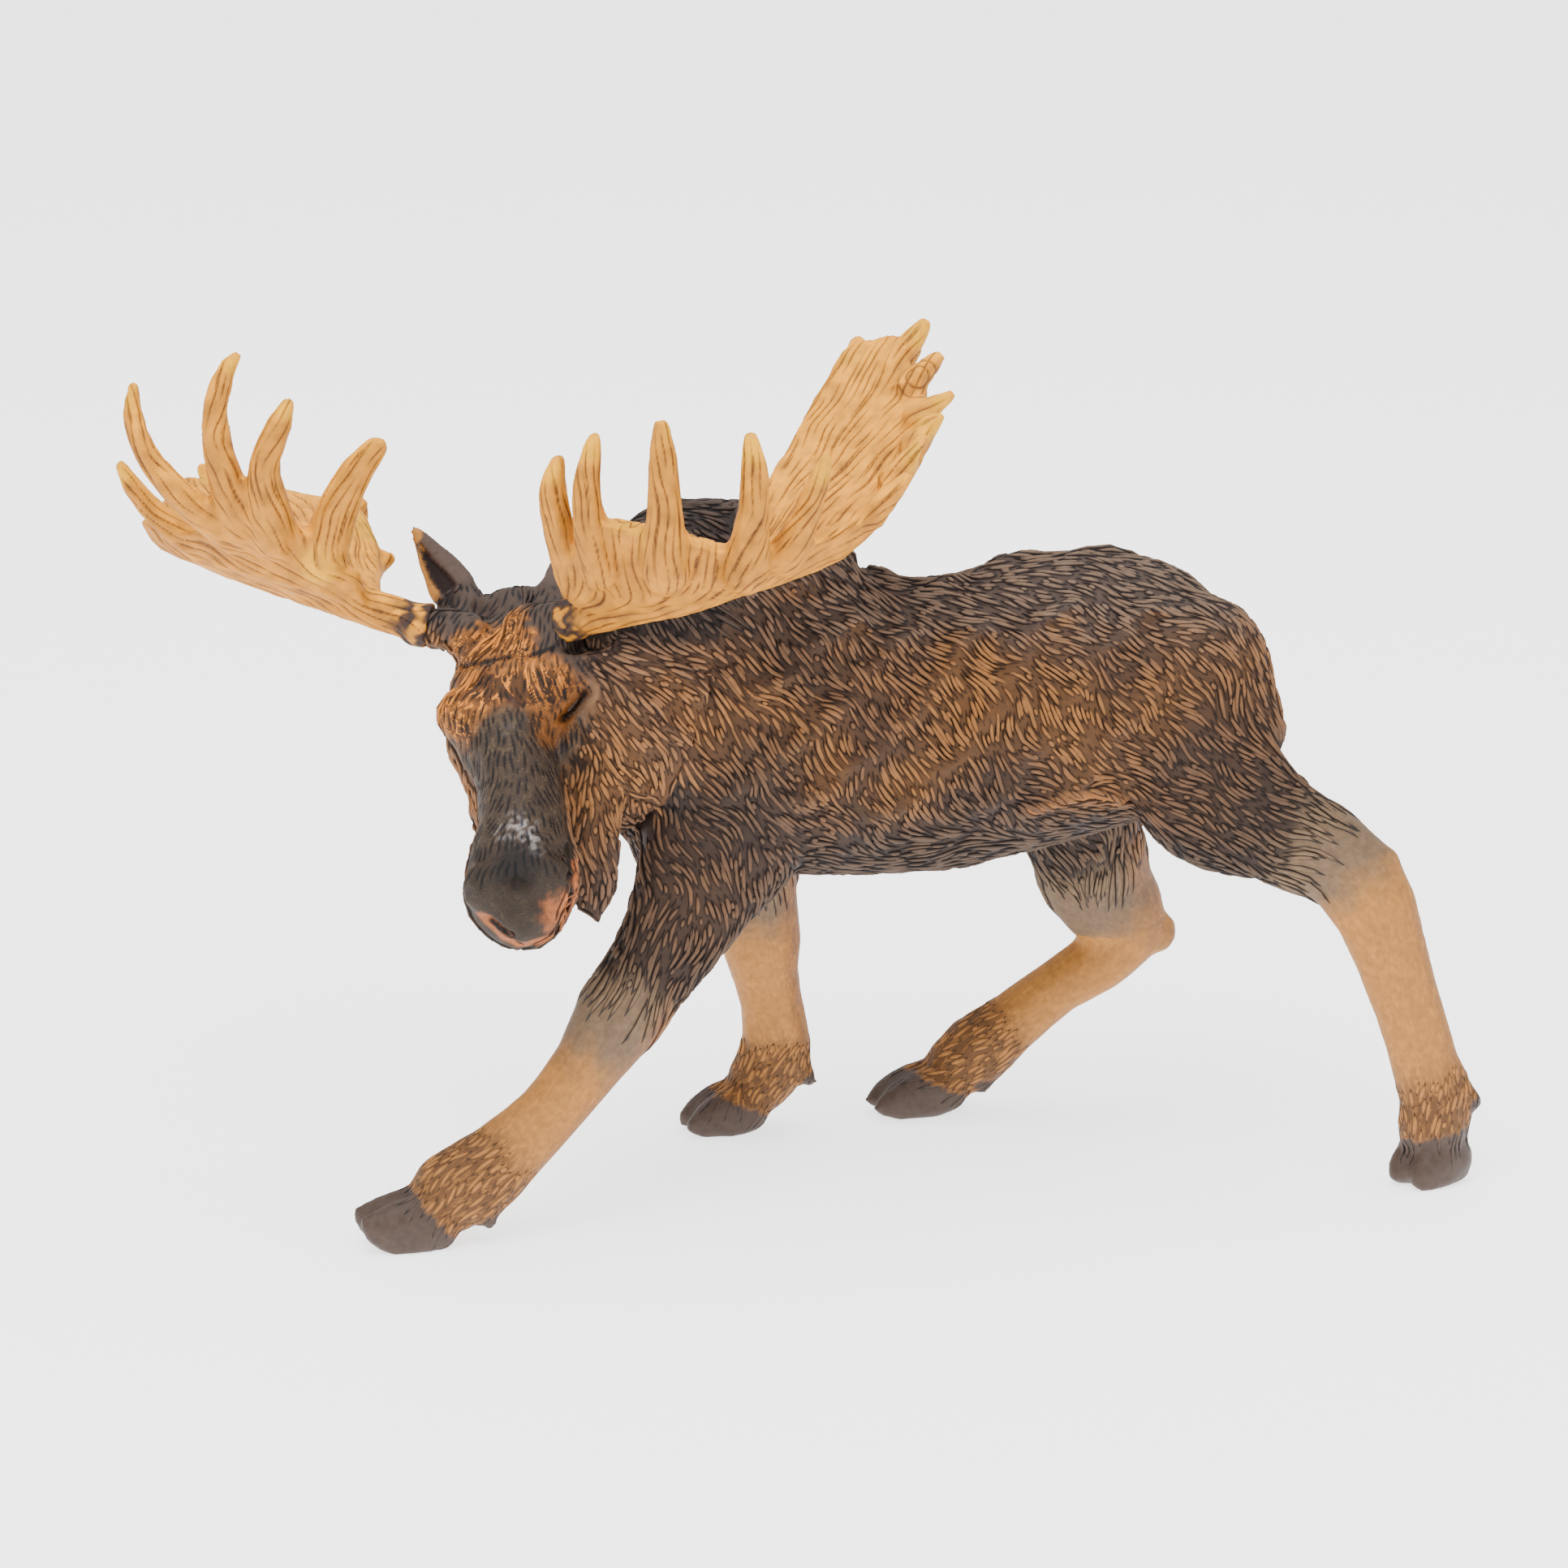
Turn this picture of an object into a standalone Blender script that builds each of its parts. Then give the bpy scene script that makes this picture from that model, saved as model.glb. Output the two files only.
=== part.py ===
"""A moulded plastic figurine of a bull moose: body with legs, head with neck, and two antlers.

The moose walks toward -X with its head lowered and turned to its left, which is -Y. Shapes are
written in millimetres and placed in metres, with +Z up and the floor at Z = 0.
"""
import math

import bmesh
import bpy
from mathutils import Matrix, Vector
from mathutils.noise import noise

MM = 0.001

# Driving dimensions, in millimetres
ORIGIN = Vector((-9.5, 5.6, 0.0))       # the point of the drawing frame that becomes the origin
MIDDLE_Y = -4.0                         # the trunk's plane of symmetry
PIECE_GAP = 0.3                         # between two pieces that touch
SEAM_POINT = Vector((-24.0, -4.0, 63.0))
SEAM_NORMAL = Vector((-0.938, 0.0, 0.346))
SEAM_LOWEST = 34.0                      # the head's piece ends above this height
NECK_PEG_RADIUS = 4.0
NECK_PEG_LENGTH = 4.0
ANTLER_PEG_RADIUS = 1.2
ANTLER_PEG_LENGTH = 3.2
PALM_THICKNESS = 2.3
ROOT_REACH = 0.75                       # share of the way from a tine's base to the trough
BODY_VOXEL = 0.62
HEAD_VOXEL = 0.5
ANTLER_VOXEL = 0.45

SIDE_Y = Vector((0.0, 1.0, 0.0))

# The trunk: x, height of the back, height of the belly, half width
TRUNK = (
    (-34.0, 72.0, 50.0, 9.5),
    (-28.0, 78.5, 41.5, 13.5),
    (-21.5, 81.8, 37.0, 15.3),
    (-14.5, 78.8, 35.6, 16.0),
    (-7.5, 73.2, 36.2, 16.4),
    (2.0, 70.8, 36.0, 16.6),
    (12.0, 70.8, 36.8, 16.4),
    (22.0, 72.6, 38.6, 15.8),
    (32.0, 71.6, 40.6, 14.8),
    (37.6, 68.4, 42.6, 13.0),
    (41.2, 63.8, 45.5, 7.6),
)
TRUNK_TAPER = -0.16
NECK_TAPER = 0.26

# Round masses on the trunk: centre, radii and the angle that each leans back by
TRUNK_MASSES = (
    ((-22.5, -4.0, 70.0), (11.5, 8.5, 11.6), 0.0),
    ((-25.2, -7.0, 43.5), (5.2, 8.0, 8.5), 0.0),
    ((-19.0, -11.0, 54.0), (10.0, 8.0, 14.0), 14.0),
    ((-18.0, 4.0, 54.0), (10.0, 8.0, 14.0), 14.0),
    ((34.6, -9.5, 56.5), (9.9, 9.5, 12.2), 12.0),
    ((35.2, 2.0, 56.0), (9.9, 9.5, 12.2), 12.0),
    ((4.0, -4.0, 45.2), (22.0, 14.5, 9.2), 0.0),
)
TAIL = ((43.4, -4.0, 63.8, 2.0, 2.4), (46.4, -4.0, 60.0, 1.8, 2.2), (48.4, -4.0, 54.5, 1.2, 1.5))

# The neck: centre, half height, half width
NECK = (
    (-20.0, -4.0, 60.0, 19.0, 15.0),
    (-27.0, -5.0, 60.0, 17.8, 14.2),
    (-33.5, -6.5, 59.2, 14.4, 12.3),
    (-38.5, -6.0, 60.6, 10.8, 9.2),
)
NECK_MASS = ((-31.5, -9.5, 55.0), (7.0, 9.0, 11.0), 18.0)

# Each leg: centre, half depth in the plane of the stride, half width across
HIND_LEFT = (
    (36.0, -10.0, 60.0, 10.0, 8.5),
    (36.0, -12.5, 53.5, 11.0, 8.0),
    (37.6, -17.0, 46.2, 9.8, 6.8),
    (43.5, -22.0, 42.0, 6.6, 5.0),
    (49.4, -25.2, 38.8, 5.4, 4.2),
    (52.9, -27.0, 34.4, 5.2, 3.8),
    (54.7, -28.0, 29.5, 4.6, 3.5),
    (56.5, -28.6, 24.0, 4.2, 3.2),
    (58.2, -29.0, 18.8, 4.0, 3.1),
    (59.6, -29.0, 14.3, 4.1, 3.3),
    (61.0, -29.0, 10.3, 4.5, 3.7),
    (60.7, -29.0, 6.6, 4.3, 3.6),
)
HIND_RIGHT = (
    (36.0, 3.0, 60.0, 12.0, 8.5),
    (31.0, 4.5, 51.0, 11.5, 8.0),
    (28.0, 6.0, 43.5, 9.5, 6.5),
    (29.8, 8.0, 35.0, 7.4, 5.4),
    (32.8, 10.0, 28.0, 6.8, 4.8),
    (36.2, 11.0, 22.8, 5.2, 4.0),
    (33.6, 12.0, 18.3, 4.1, 3.5),
    (28.2, 12.5, 14.9, 3.5, 3.1),
    (22.6, 13.0, 10.8, 3.9, 3.2),
    (18.6, 13.6, 7.6, 4.6, 3.5),
    (15.6, 14.0, 5.4, 4.0, 3.4),
)
FORE_LEFT = (
    (-15.0, -9.5, 58.0, 12.0, 8.0),
    (-18.0, -11.5, 48.5, 10.8, 7.4),
    (-22.8, -13.5, 41.0, 9.0, 6.2),
    (-27.2, -15.5, 34.2, 6.5, 4.9),
    (-31.2, -16.8, 29.0, 5.5, 4.5),
    (-35.3, -18.0, 24.1, 5.1, 4.2),
    (-38.7, -18.5, 19.5, 4.1, 3.6),
    (-42.8, -19.0, 14.9, 3.8, 3.3),
    (-47.2, -19.3, 11.0, 4.2, 3.5),
    (-51.6, -19.4, 7.6, 5.0, 3.8),
    (-55.6, -19.4, 5.8, 4.8, 3.8),
)
FORE_RIGHT = (
    (-14.0, 2.0, 57.0, 11.0, 8.0),
    (-12.8, 4.0, 47.0, 9.0, 7.0),
    (-12.2, 6.2, 37.5, 5.9, 5.2),
    (-11.2, 8.2, 31.0, 5.0, 4.5),
    (-10.0, 10.0, 24.0, 4.8, 4.2),
    (-9.2, 11.2, 20.0, 4.1, 3.6),
    (-8.2, 12.2, 16.0, 3.8, 3.3),
    (-7.5, 13.0, 12.2, 4.1, 3.4),
    (-7.5, 13.5, 8.6, 4.6, 3.7),
    (-9.6, 13.5, 5.4, 4.0, 3.6),
)

# Round masses at the two hocks
HOCKS = (((54.2, -26.8, 38.0), (2.6, 2.4, 2.8)), ((40.1, 11.0, 21.4), (2.8, 2.4, 2.8)))

# Each hoof: how tall it is against the others, then its heel, middle, front and tip
HOOF_SPREAD = 1.75
HOOF_SECTIONS = ((2.9, 2.0), (3.3, 2.15), (2.3, 1.75), (1.0, 0.85))
HOOVES = (
    (1.16, ((-56.6, -19.4, 3.2), (-60.2, -19.4, 2.6), (-63.6, -19.4, 3.1), (-65.4, -19.4, 3.8))),
    (1.0, ((-10.8, 13.5, 3.0), (-13.8, 13.5, 2.3), (-16.8, 13.5, 1.6), (-18.5, 13.5, 1.2))),
    (1.0, ((63.0, -27.8, 2.7), (60.4, -29.0, 2.4), (57.8, -30.2, 1.6), (56.6, -30.8, 1.2))),
    (1.0, ((14.6, 14.0, 3.2), (11.2, 14.0, 2.6), (7.4, 14.0, 1.9), (5.4, 14.0, 1.5))),
)
DEWCLAWS = (
    ((-51.6, -21.2, 3.8), (-50.8, -21.4, 2.4)),
    ((-51.6, -17.6, 3.8), (-50.8, -17.4, 2.4)),
    ((-4.4, 11.8, 7.6), (-3.4, 11.6, 5.8)),
    ((-4.4, 15.2, 7.6), (-3.4, 15.4, 5.8)),
    ((64.2, -30.6, 11.0), (65.4, -30.6, 9.6)),
    ((64.0, -26.8, 11.0), (65.2, -26.6, 9.6)),
    ((17.6, 12.4, 4.6), (18.6, 12.2, 3.0)),
    ((17.6, 15.8, 4.6), (18.6, 16.0, 3.0)),
)

# The head: the line down the middle of the face, half depth, half width
HEAD_ACROSS = Vector((0.934, -0.316, 0.063))
FACE = (
    (-42.4, -0.4, 70.2, 4.4, 5.0),
    (-44.1, -5.2, 67.2, 7.2, 7.0),
    (-46.2, -11.5, 63.1, 8.8, 8.0),
    (-46.7, -14.6, 60.9, 9.0, 7.5),
    (-47.1, -16.7, 58.6, 8.6, 6.3),
    (-47.2, -19.1, 56.3, 7.8, 5.4),
    (-47.7, -22.8, 52.8, 6.9, 5.3),
    (-48.8, -26.6, 49.1, 6.5, 6.2),
    (-49.4, -29.2, 46.2, 6.1, 6.5),
    (-49.3, -30.4, 44.3, 5.0, 5.2),
    (-49.0, -30.3, 43.0, 3.4, 4.0),
)

# Round masses on both sides of the head: place down the face, across and behind its line, and radii
FACE_MASSES = (
    ((2.3, 4.2, -4.2), (4.2, 4.2, 3.7)),
    ((5.0, 2.5, -9.5), (3.7, 4.0, 5.6)),
    ((8.1, 3.3, -3.2), (3.2, 3.2, 3.2)),
)

# The jaw: place down the face, how far behind its line, half depth and half width
JAW = ((4.0, -15.0, 5.0, 5.6), (6.0, -12.6, 4.0, 4.6), (8.2, -9.4, 3.4, 4.2), (9.4, -6.4, 2.4, 3.2))

# The bell: centre, half depth and half width, then the tips of its lobes with their radii
BELL = (
    (-35.2, -13.5, 53.5, 3.6, 3.2),
    (-37.2, -18.5, 48.5, 3.2, 2.7),
    (-38.4, -21.8, 43.4, 2.6, 2.4),
    (-38.7, -23.0, 40.4, 1.8, 1.8),
)
BELL_LOBES = ((-38.6, -23.6, 37.4, 0.8), (-40.4, -22.6, 39.0, 0.8), (-36.8, -22.8, 40.6, 0.8))
LOBE_LENGTH = 6.0

# Each ear: its root, its tip and the direction of its width, with half thickness and half width
EARS = (
    ((-47.4, 2.6, 68.6), (-51.0, 13.1, 76.3), Vector((0.9, -0.2, 0.4))),
    ((-37.4, -1.4, 68.6), (-32.4, 9.0, 75.8), Vector((0.9, -0.2, -0.4))),
)
EAR_SECTIONS = ((1.6, 2.6), (1.3, 2.9), (1.0, 2.5), (0.8, 1.6), (0.5, 0.6))

# The skull's two stubs, each from its root to where its antler starts
LEFT_PEDICLE = (Vector((-42.0, -5.5, 67.8)), Vector((-38.4, -9.6, 69.4)))
RIGHT_PEDICLE = (Vector((-48.0, -1.0, 66.4)), Vector((-52.2, 1.0, 67.2)))

# The left antler: across each rib, its near rim, its trough and its far rim
LEFT_PALM = (
    ((-40.4, -16.8, 76.5), (-37.6, -15.6, 72.0), (-36.0, -13.4, 72.6)),
    ((-37.6, -22.6, 83.0), (-34.4, -20.4, 73.8), (-31.3, -17.3, 73.9)),
    ((-30.8, -28.4, 82.6), (-28.4, -24.4, 74.8), (-25.8, -18.6, 75.3)),
    ((-23.4, -30.2, 80.4), (-21.4, -25.6, 75.8), (-18.3, -17.5, 78.4)),
    ((-16.4, -28.8, 81.0), (-15.0, -23.2, 77.0), (-14.8, -9.2, 83.2)),
    ((-9.4, -25.6, 82.6), (-9.4, -21.6, 79.4), (-8.6, -1.4, 88.0)),
    ((-3.4, -21.2, 85.0), (-3.4, -15.8, 83.2), (-4.2, 2.6, 92.6)),
    ((1.2, -16.0, 88.0), (1.4, -10.6, 88.6), (-0.8, 5.4, 95.8)),
    ((4.0, -12.6, 90.6), (5.0, -6.0, 92.8), (4.4, 3.4, 97.4)),
)
LEFT_BEAM = (
    (-38.4, -9.6, 69.4, 2.3), (-36.2, -13.6, 70.8, 2.3), (-32.8, -18.6, 72.6, 2.2),
    (-27.2, -22.0, 74.0, 1.9), (-18.4, -21.6, 76.4, 1.6), (-9.0, -18.0, 80.0, 1.3),
)
LEFT_TINES = (
    ((-38.6, -15.8, 75.0, 2.4), (-41.2, -17.0, 82.0, 1.9), (-41.8, -17.2, 86.4, 1.6), (-41.0, -16.6, 89.4, 1.0)),
    ((-37.6, -21.6, 78.0, 2.5), (-39.2, -22.2, 85.2, 1.8), (-38.8, -22.2, 90.0, 1.4), (-38.0, -21.6, 92.8, 0.9)),
    ((-31.6, -27.8, 78.6, 2.9), (-32.0, -28.6, 85.6, 2.0), (-32.0, -28.2, 90.6, 1.7), (-32.0, -27.4, 94.8, 1.1)),
    ((-23.2, -30.4, 78.6, 2.8), (-22.6, -31.2, 84.6, 1.9), (-22.2, -30.6, 89.6, 1.6), (-22.5, -29.8, 93.4, 1.0)),
    ((-18.0, -29.0, 79.6, 2.3), (-16.2, -29.8, 84.0, 1.7), (-14.6, -29.6, 88.0, 1.4), (-13.6, -29.4, 90.4, 0.9)),
    ((-7.2, -24.4, 82.4, 1.8), (-4.8, -24.8, 85.0, 1.3), (-2.8, -24.8, 86.9, 0.8)),
    ((-2.8, -18.6, 85.4, 1.7), (-0.6, -18.2, 87.8, 1.2), (1.2, -17.6, 89.7, 0.8)),
    ((0.6, -14.6, 87.8, 1.7), (2.8, -13.6, 89.6, 1.3), (4.7, -13.0, 91.2, 0.8)),
    ((2.4, -10.2, 90.4, 1.7), (5.0, -10.0, 92.0, 1.3), (7.2, -9.8, 93.2, 0.8)),
    ((3.0, -5.2, 92.6, 1.9), (5.2, -4.6, 94.8, 1.5), (7.0, -4.4, 96.4, 1.0)),
    ((2.8, -0.6, 94.2, 2.0), (5.4, 1.2, 97.0, 1.7), (7.4, 2.0, 99.2, 1.1)),
    ((0.0, 3.8, 94.2, 1.8), (0.5, 5.8, 96.6, 1.2)),
)

# The right antler, in the same way
RIGHT_PALM = (
    ((-60.2, 1.0, 73.5), (-58.4, 3.2, 69.6), (-56.4, 8.6, 70.2)),
    ((-65.2, 1.4, 78.0), (-63.2, 4.4, 70.8), (-54.0, 20.0, 70.8)),
    ((-69.4, 1.6, 81.8), (-67.6, 7.2, 71.8), (-54.2, 27.6, 75.0)),
    ((-74.4, 5.0, 84.0), (-71.8, 11.6, 72.4), (-57.6, 34.2, 75.6)),
    ((-76.2, 8.6, 79.4), (-75.2, 17.0, 73.4), (-62.4, 40.0, 75.8)),
    ((-79.0, 14.6, 77.4), (-78.4, 22.4, 74.8), (-68.2, 42.8, 76.4)),
    ((-80.8, 20.4, 78.0), (-79.6, 25.4, 77.2), (-73.0, 40.8, 77.8)),
)
RIGHT_BEAM = (
    (-52.2, 1.0, 67.2, 2.3), (-57.0, 3.2, 68.8, 2.3), (-62.4, 5.2, 70.6, 2.2),
    (-68.0, 9.2, 72.0, 1.9), (-73.4, 15.4, 73.4, 1.6), (-77.2, 21.4, 75.6, 1.3),
)
RIGHT_TINES = (
    ((-64.2, 2.2, 75.4, 2.9), (-61.6, 0.2, 84.0, 2.2), (-58.2, -0.8, 88.8, 1.5)),
    ((-69.8, 2.0, 79.4, 2.8), (-71.0, 0.2, 86.8, 1.9), (-69.2, 0.0, 91.8, 1.5), (-68.1, 0.0, 94.2, 1.0)),
    ((-73.2, 4.0, 80.2, 2.4), (-75.5, 3.2, 88.0, 1.9), (-75.8, 3.6, 93.5, 1.5), (-74.4, 4.0, 97.4, 1.2),
     (-73.2, 4.0, 99.2, 0.9)),
    ((-74.0, 6.0, 78.6, 2.4), (-78.6, 5.8, 82.2, 1.9), (-82.4, 8.2, 86.6, 1.5), (-83.9, 10.6, 91.0, 1.3),
     (-83.5, 12.4, 94.8, 0.9)),
    ((-76.2, 12.6, 75.8, 1.9), (-80.0, 14.6, 78.4, 1.6), (-83.0, 16.6, 82.0, 1.3), (-84.4, 17.5, 84.8, 0.9)),
    ((-68.8, 42.0, 75.6, 1.7), (-70.0, 43.6, 78.6, 1.1)),
    ((-55.4, 29.4, 73.6, 1.7), (-53.8, 29.6, 76.0, 1.1)),
    ((-54.0, 22.2, 70.2, 1.6), (-52.2, 22.4, 70.8, 1.1)),
)

# Paint and plastic: colour, roughness
BROWN_COAT = ((0.13, 0.065, 0.03, 1.0), 0.62)
HEAD_COAT = ((0.11, 0.06, 0.035, 1.0), 0.6)
ANTLER_TAN = ((0.62, 0.36, 0.13, 1.0), 0.55)


def clear_scene():
    """Remove every object of the open file."""
    for old in list(bpy.data.objects):
        bpy.data.objects.remove(old, do_unlink=True)


def painted(name, finish):
    """Give one plastic material of a plain colour."""
    colour, roughness = finish
    material = bpy.data.materials.new(name)
    material.use_nodes = True
    shader = material.node_tree.nodes["Principled BSDF"]
    shader.inputs["Base Color"].default_value = colour
    shader.inputs["Roughness"].default_value = roughness
    shader.inputs["Metallic"].default_value = 0.0
    return material


def through(values, position):
    """Read a smooth curve through a list of number rows at a position counted in rows."""
    last = len(values) - 1
    position = min(max(position, 0.0), float(last))
    index = min(int(position), last - 1)
    t = position - index
    before = values[max(index - 1, 0)]
    start = values[index]
    end = values[index + 1]
    after = values[min(index + 2, last)]
    row = []
    for a, b, c, d in zip(before, start, end, after):
        row.append(0.5 * (2 * b + (c - a) * t + (2 * a - 5 * b + 4 * c - d) * t * t
                          + (3 * b - a - 3 * c + d) * t * t * t))
    return row


class Tube:
    """A limb through stations of centre, half depth and half width, with round ends."""

    def __init__(self, stations, side=SIDE_Y, taper=0.0):
        self.stations = stations
        self.side = side.normalized()
        self.taper = taper

    def centre(self, position):
        return Vector(through(self.stations, position)[:3])

    def axes(self, position):
        """Give the direction along the limb, the one across it and the one through its depth."""
        last = len(self.stations) - 1
        ahead = self.centre(min(position + 0.05, last))
        behind = self.centre(max(position - 0.05, 0.0))
        along = (ahead - behind).normalized()
        across = (self.side - along * self.side.dot(along)).normalized()
        return along, across, across.cross(along)

    def sizes(self, position):
        row = through(self.stations, position)
        depth = max(row[3], 0.3)
        width = max(row[4] if len(row) > 4 else row[3], 0.3)
        return depth, width

    def at(self, position, angle, lift=0.0):
        """Give the point of the surface at an angle, which is 0 at the side and 90 at the depth."""
        _, across, deep = self.axes(position)
        depth, width = self.sizes(position)
        turn = math.radians(angle)
        narrowed = (width + lift) * math.cos(turn) * (1.0 - self.taper * math.sin(turn))
        return self.centre(position) + across * narrowed + deep * ((depth + lift) * math.sin(turn))

    def rings(self, steps, sides):
        """Give the rings of points from one round end to the other."""
        last = len(self.stations) - 1
        count = last * steps
        plan = []
        for k in range(count + 1):
            plan.append((k / steps, 1.0, 0.0))
        round_end = ((0.92, 0.38), (0.7, 0.7), (0.38, 0.92))
        for shrink, reach in round_end:
            plan.insert(0, (0.0, shrink, -reach))
            plan.append((float(last), shrink, reach))
        result = []
        for position, shrink, reach in plan:
            along, across, deep = self.axes(position)
            depth, width = self.sizes(position)
            middle = self.centre(position) + along * (reach * min(depth, width))
            ring = []
            for k in range(sides):
                turn = math.tau * k / sides
                narrowed = width * math.cos(turn) * (1.0 - self.taper * math.sin(turn))
                ring.append(middle + across * (narrowed * shrink) + deep * (depth * math.sin(turn) * shrink))
            result.append(ring)
        return result

    def add_to(self, shape, steps=4, sides=20):
        """Add the closed limb to a bmesh."""
        rows = []
        for ring in self.rings(steps, sides):
            rows.append([shape.verts.new(point) for point in ring])
        for lower, upper in zip(rows[:-1], rows[1:]):
            for k in range(sides):
                after = (k + 1) % sides
                shape.faces.new((lower[k], lower[after], upper[after], upper[k]))
        shape.faces.new(list(reversed(rows[0])))
        shape.faces.new(rows[-1])


def round_tube(points):
    """Make a limb of round section from rows of centre and radius."""
    return Tube([(x, y, z, r, r) for x, y, z, r in points])


def add_mass(shape, centre, radii, lean=0.0):
    """Add an ellipsoid, turned by an angle in degrees about Y."""
    matrix = Matrix.Translation(Vector(centre)) @ Matrix.Rotation(math.radians(lean), 4, "Y")
    matrix = matrix @ Matrix.Diagonal((*radii, 1.0))
    bmesh.ops.create_uvsphere(shape, u_segments=24, v_segments=14, radius=1.0, matrix=matrix)


def add_sheet(shape, ribs, thickness, columns=5, rows=8):
    """Add a curved plate of even thickness through ribs of three points each."""
    last = len(ribs) - 1
    grid = []
    for k in range(last * columns + 1):
        position = k / columns
        edge = [through([rib[j] for rib in ribs], position) for j in range(3)]
        grid.append([Vector(through(edge, 2.0 * j / rows)) for j in range(rows + 1)])
    normals = []
    for i, line in enumerate(grid):
        row = []
        for j in range(len(line)):
            along = grid[min(i + 1, len(grid) - 1)][j] - grid[max(i - 1, 0)][j]
            across = line[min(j + 1, rows)] - line[max(j - 1, 0)]
            row.append(along.cross(across).normalized())
        normals.append(row)
    layers = []
    for sign in (0.5, -0.5):
        layer = []
        for line, row in zip(grid, normals):
            layer.append([shape.verts.new(p + n * (thickness * sign)) for p, n in zip(line, row)])
        layers.append(layer)
    top, bottom = layers
    for i in range(len(grid) - 1):
        for j in range(rows):
            shape.faces.new((top[i][j], top[i + 1][j], top[i + 1][j + 1], top[i][j + 1]))
            shape.faces.new((bottom[i][j], bottom[i][j + 1], bottom[i + 1][j + 1], bottom[i + 1][j]))
    border = [(i, 0) for i in range(len(grid))]
    border += [(len(grid) - 1, j) for j in range(1, rows + 1)]
    border += [(i, rows) for i in range(len(grid) - 2, -1, -1)]
    border += [(0, j) for j in range(rows - 1, 0, -1)]
    for k, (i, j) in enumerate(border):
        m, n = border[(k + 1) % len(border)]
        shape.faces.new((top[i][j], bottom[i][j], bottom[m][n], top[m][n]))


def trunk_tube():
    """The trunk as a limb from the chest to the rump."""
    stations = []
    for x, top, bottom, half_width in TRUNK:
        stations.append((x, MIDDLE_Y, (top + bottom) / 2, (top - bottom) / 2, half_width))
    return Tube(stations, SIDE_Y, TRUNK_TAPER)


def add_trunk(shape):
    """Add the trunk, the hump over the shoulders, the haunches and the tail's stub."""
    trunk_tube().add_to(shape, sides=32)
    for centre, radii, lean in TRUNK_MASSES:
        add_mass(shape, centre, radii, lean)
    Tube(TAIL).add_to(shape)


def add_foot(shape, height, line):
    """Add the two claws of one hoof on either side of its line."""
    heel = Vector(line[0])
    tip = Vector(line[-1])
    heading = Vector((tip.x - heel.x, tip.y - heel.y, 0.0)).normalized()
    across = Vector((-heading.y, heading.x, 0.0))
    for sign in (-1.0, 1.0):
        stations = []
        for (x, y, z), (depth, width) in zip(line, HOOF_SECTIONS):
            centre = Vector((x, y, z)) + across * (sign * HOOF_SPREAD)
            stations.append((*centre, depth * height, width))
        Tube(stations, across).add_to(shape)


def add_legs(shape):
    """Add the four legs with their hooves and dewclaws."""
    for stations in (HIND_LEFT, HIND_RIGHT, FORE_LEFT, FORE_RIGHT):
        Tube(stations).add_to(shape)
    for height, line in HOOVES:
        add_foot(shape, height, line)
    for root, tip in DEWCLAWS:
        round_tube(((*root, 1.3), (*tip, 0.9))).add_to(shape)
    for centre, radii in HOCKS:
        add_mass(shape, centre, radii)


def add_neck(shape):
    """Add the thick neck between the chest and the head."""
    Tube(NECK, SIDE_Y, NECK_TAPER).add_to(shape, sides=28)
    add_mass(shape, *NECK_MASS)


def head_axes():
    """Give the head's directions: down the face, across it to the moose's left, and out of it."""
    down = (Vector(FACE[-2][:3]) - Vector(FACE[1][:3])).normalized()
    across = (HEAD_ACROSS - down * HEAD_ACROSS.dot(down)).normalized()
    return down, across, down.cross(across)


def on_face(position, across, out):
    """Give a point beside and in front of the line down the face, at a position in stations."""
    _, left, ahead = head_axes()
    return Vector(through(FACE, position)[:3]) + left * across + ahead * out


def add_head(shape):
    """Add the skull, brows, cheeks, muzzle, lips, jaw and the bell under the throat."""
    _, across, out = head_axes()
    stations = []
    for x, y, z, depth, width in FACE:
        centre = Vector((x, y, z)) - out * depth
        stations.append((*centre, depth, width))
    Tube(stations, across).add_to(shape, sides=28)
    for (position, beside, behind), radii in FACE_MASSES:
        add_mass(shape, on_face(position, -beside, behind), radii)
        add_mass(shape, on_face(position, beside, behind), radii)
    stations = [(*on_face(position, 0.0, behind), depth, width) for position, behind, depth, width in JAW]
    Tube(stations, across).add_to(shape)
    Tube(BELL, across).add_to(shape)
    for x, y, z, radius in BELL_LOBES:
        round_tube(((x, y, z + LOBE_LENGTH, radius + 0.6), (x, y, z, radius))).add_to(shape)


def add_ears(shape):
    """Add two leaf-shaped ears behind the antlers."""
    for base, tip, wide in EARS:
        base = Vector(base)
        tip = Vector(tip)
        stations = []
        for k, (thick, width) in enumerate(EAR_SECTIONS):
            stations.append((*base.lerp(tip, k / (len(EAR_SECTIONS) - 1)), thick, width))
        Tube(stations, wide).add_to(shape)


def add_pedicles(shape):
    """Add the skull's two stubs that carry the antlers."""
    for root, end in (LEFT_PEDICLE, RIGHT_PEDICLE):
        beyond = end + (end - root) * 0.3
        round_tube(((*root, 2.9), (*end, 2.5), (*beyond, 2.4))).add_to(shape)


def lock_on(shape, tube, start, run, angle, turn, width=1.15):
    """Add one raised lock of fur that lies along a limb's surface."""
    stations = []
    for share, size in ((0.0, 0.45), (0.35, 1.0), (0.7, 0.85), (1.0, 0.35)):
        point = tube.at(start + run * share, angle + turn * share, 0.1)
        stations.append((*point, width * size))
    round_tube(stations).add_to(shape, steps=2, sides=8)


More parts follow.
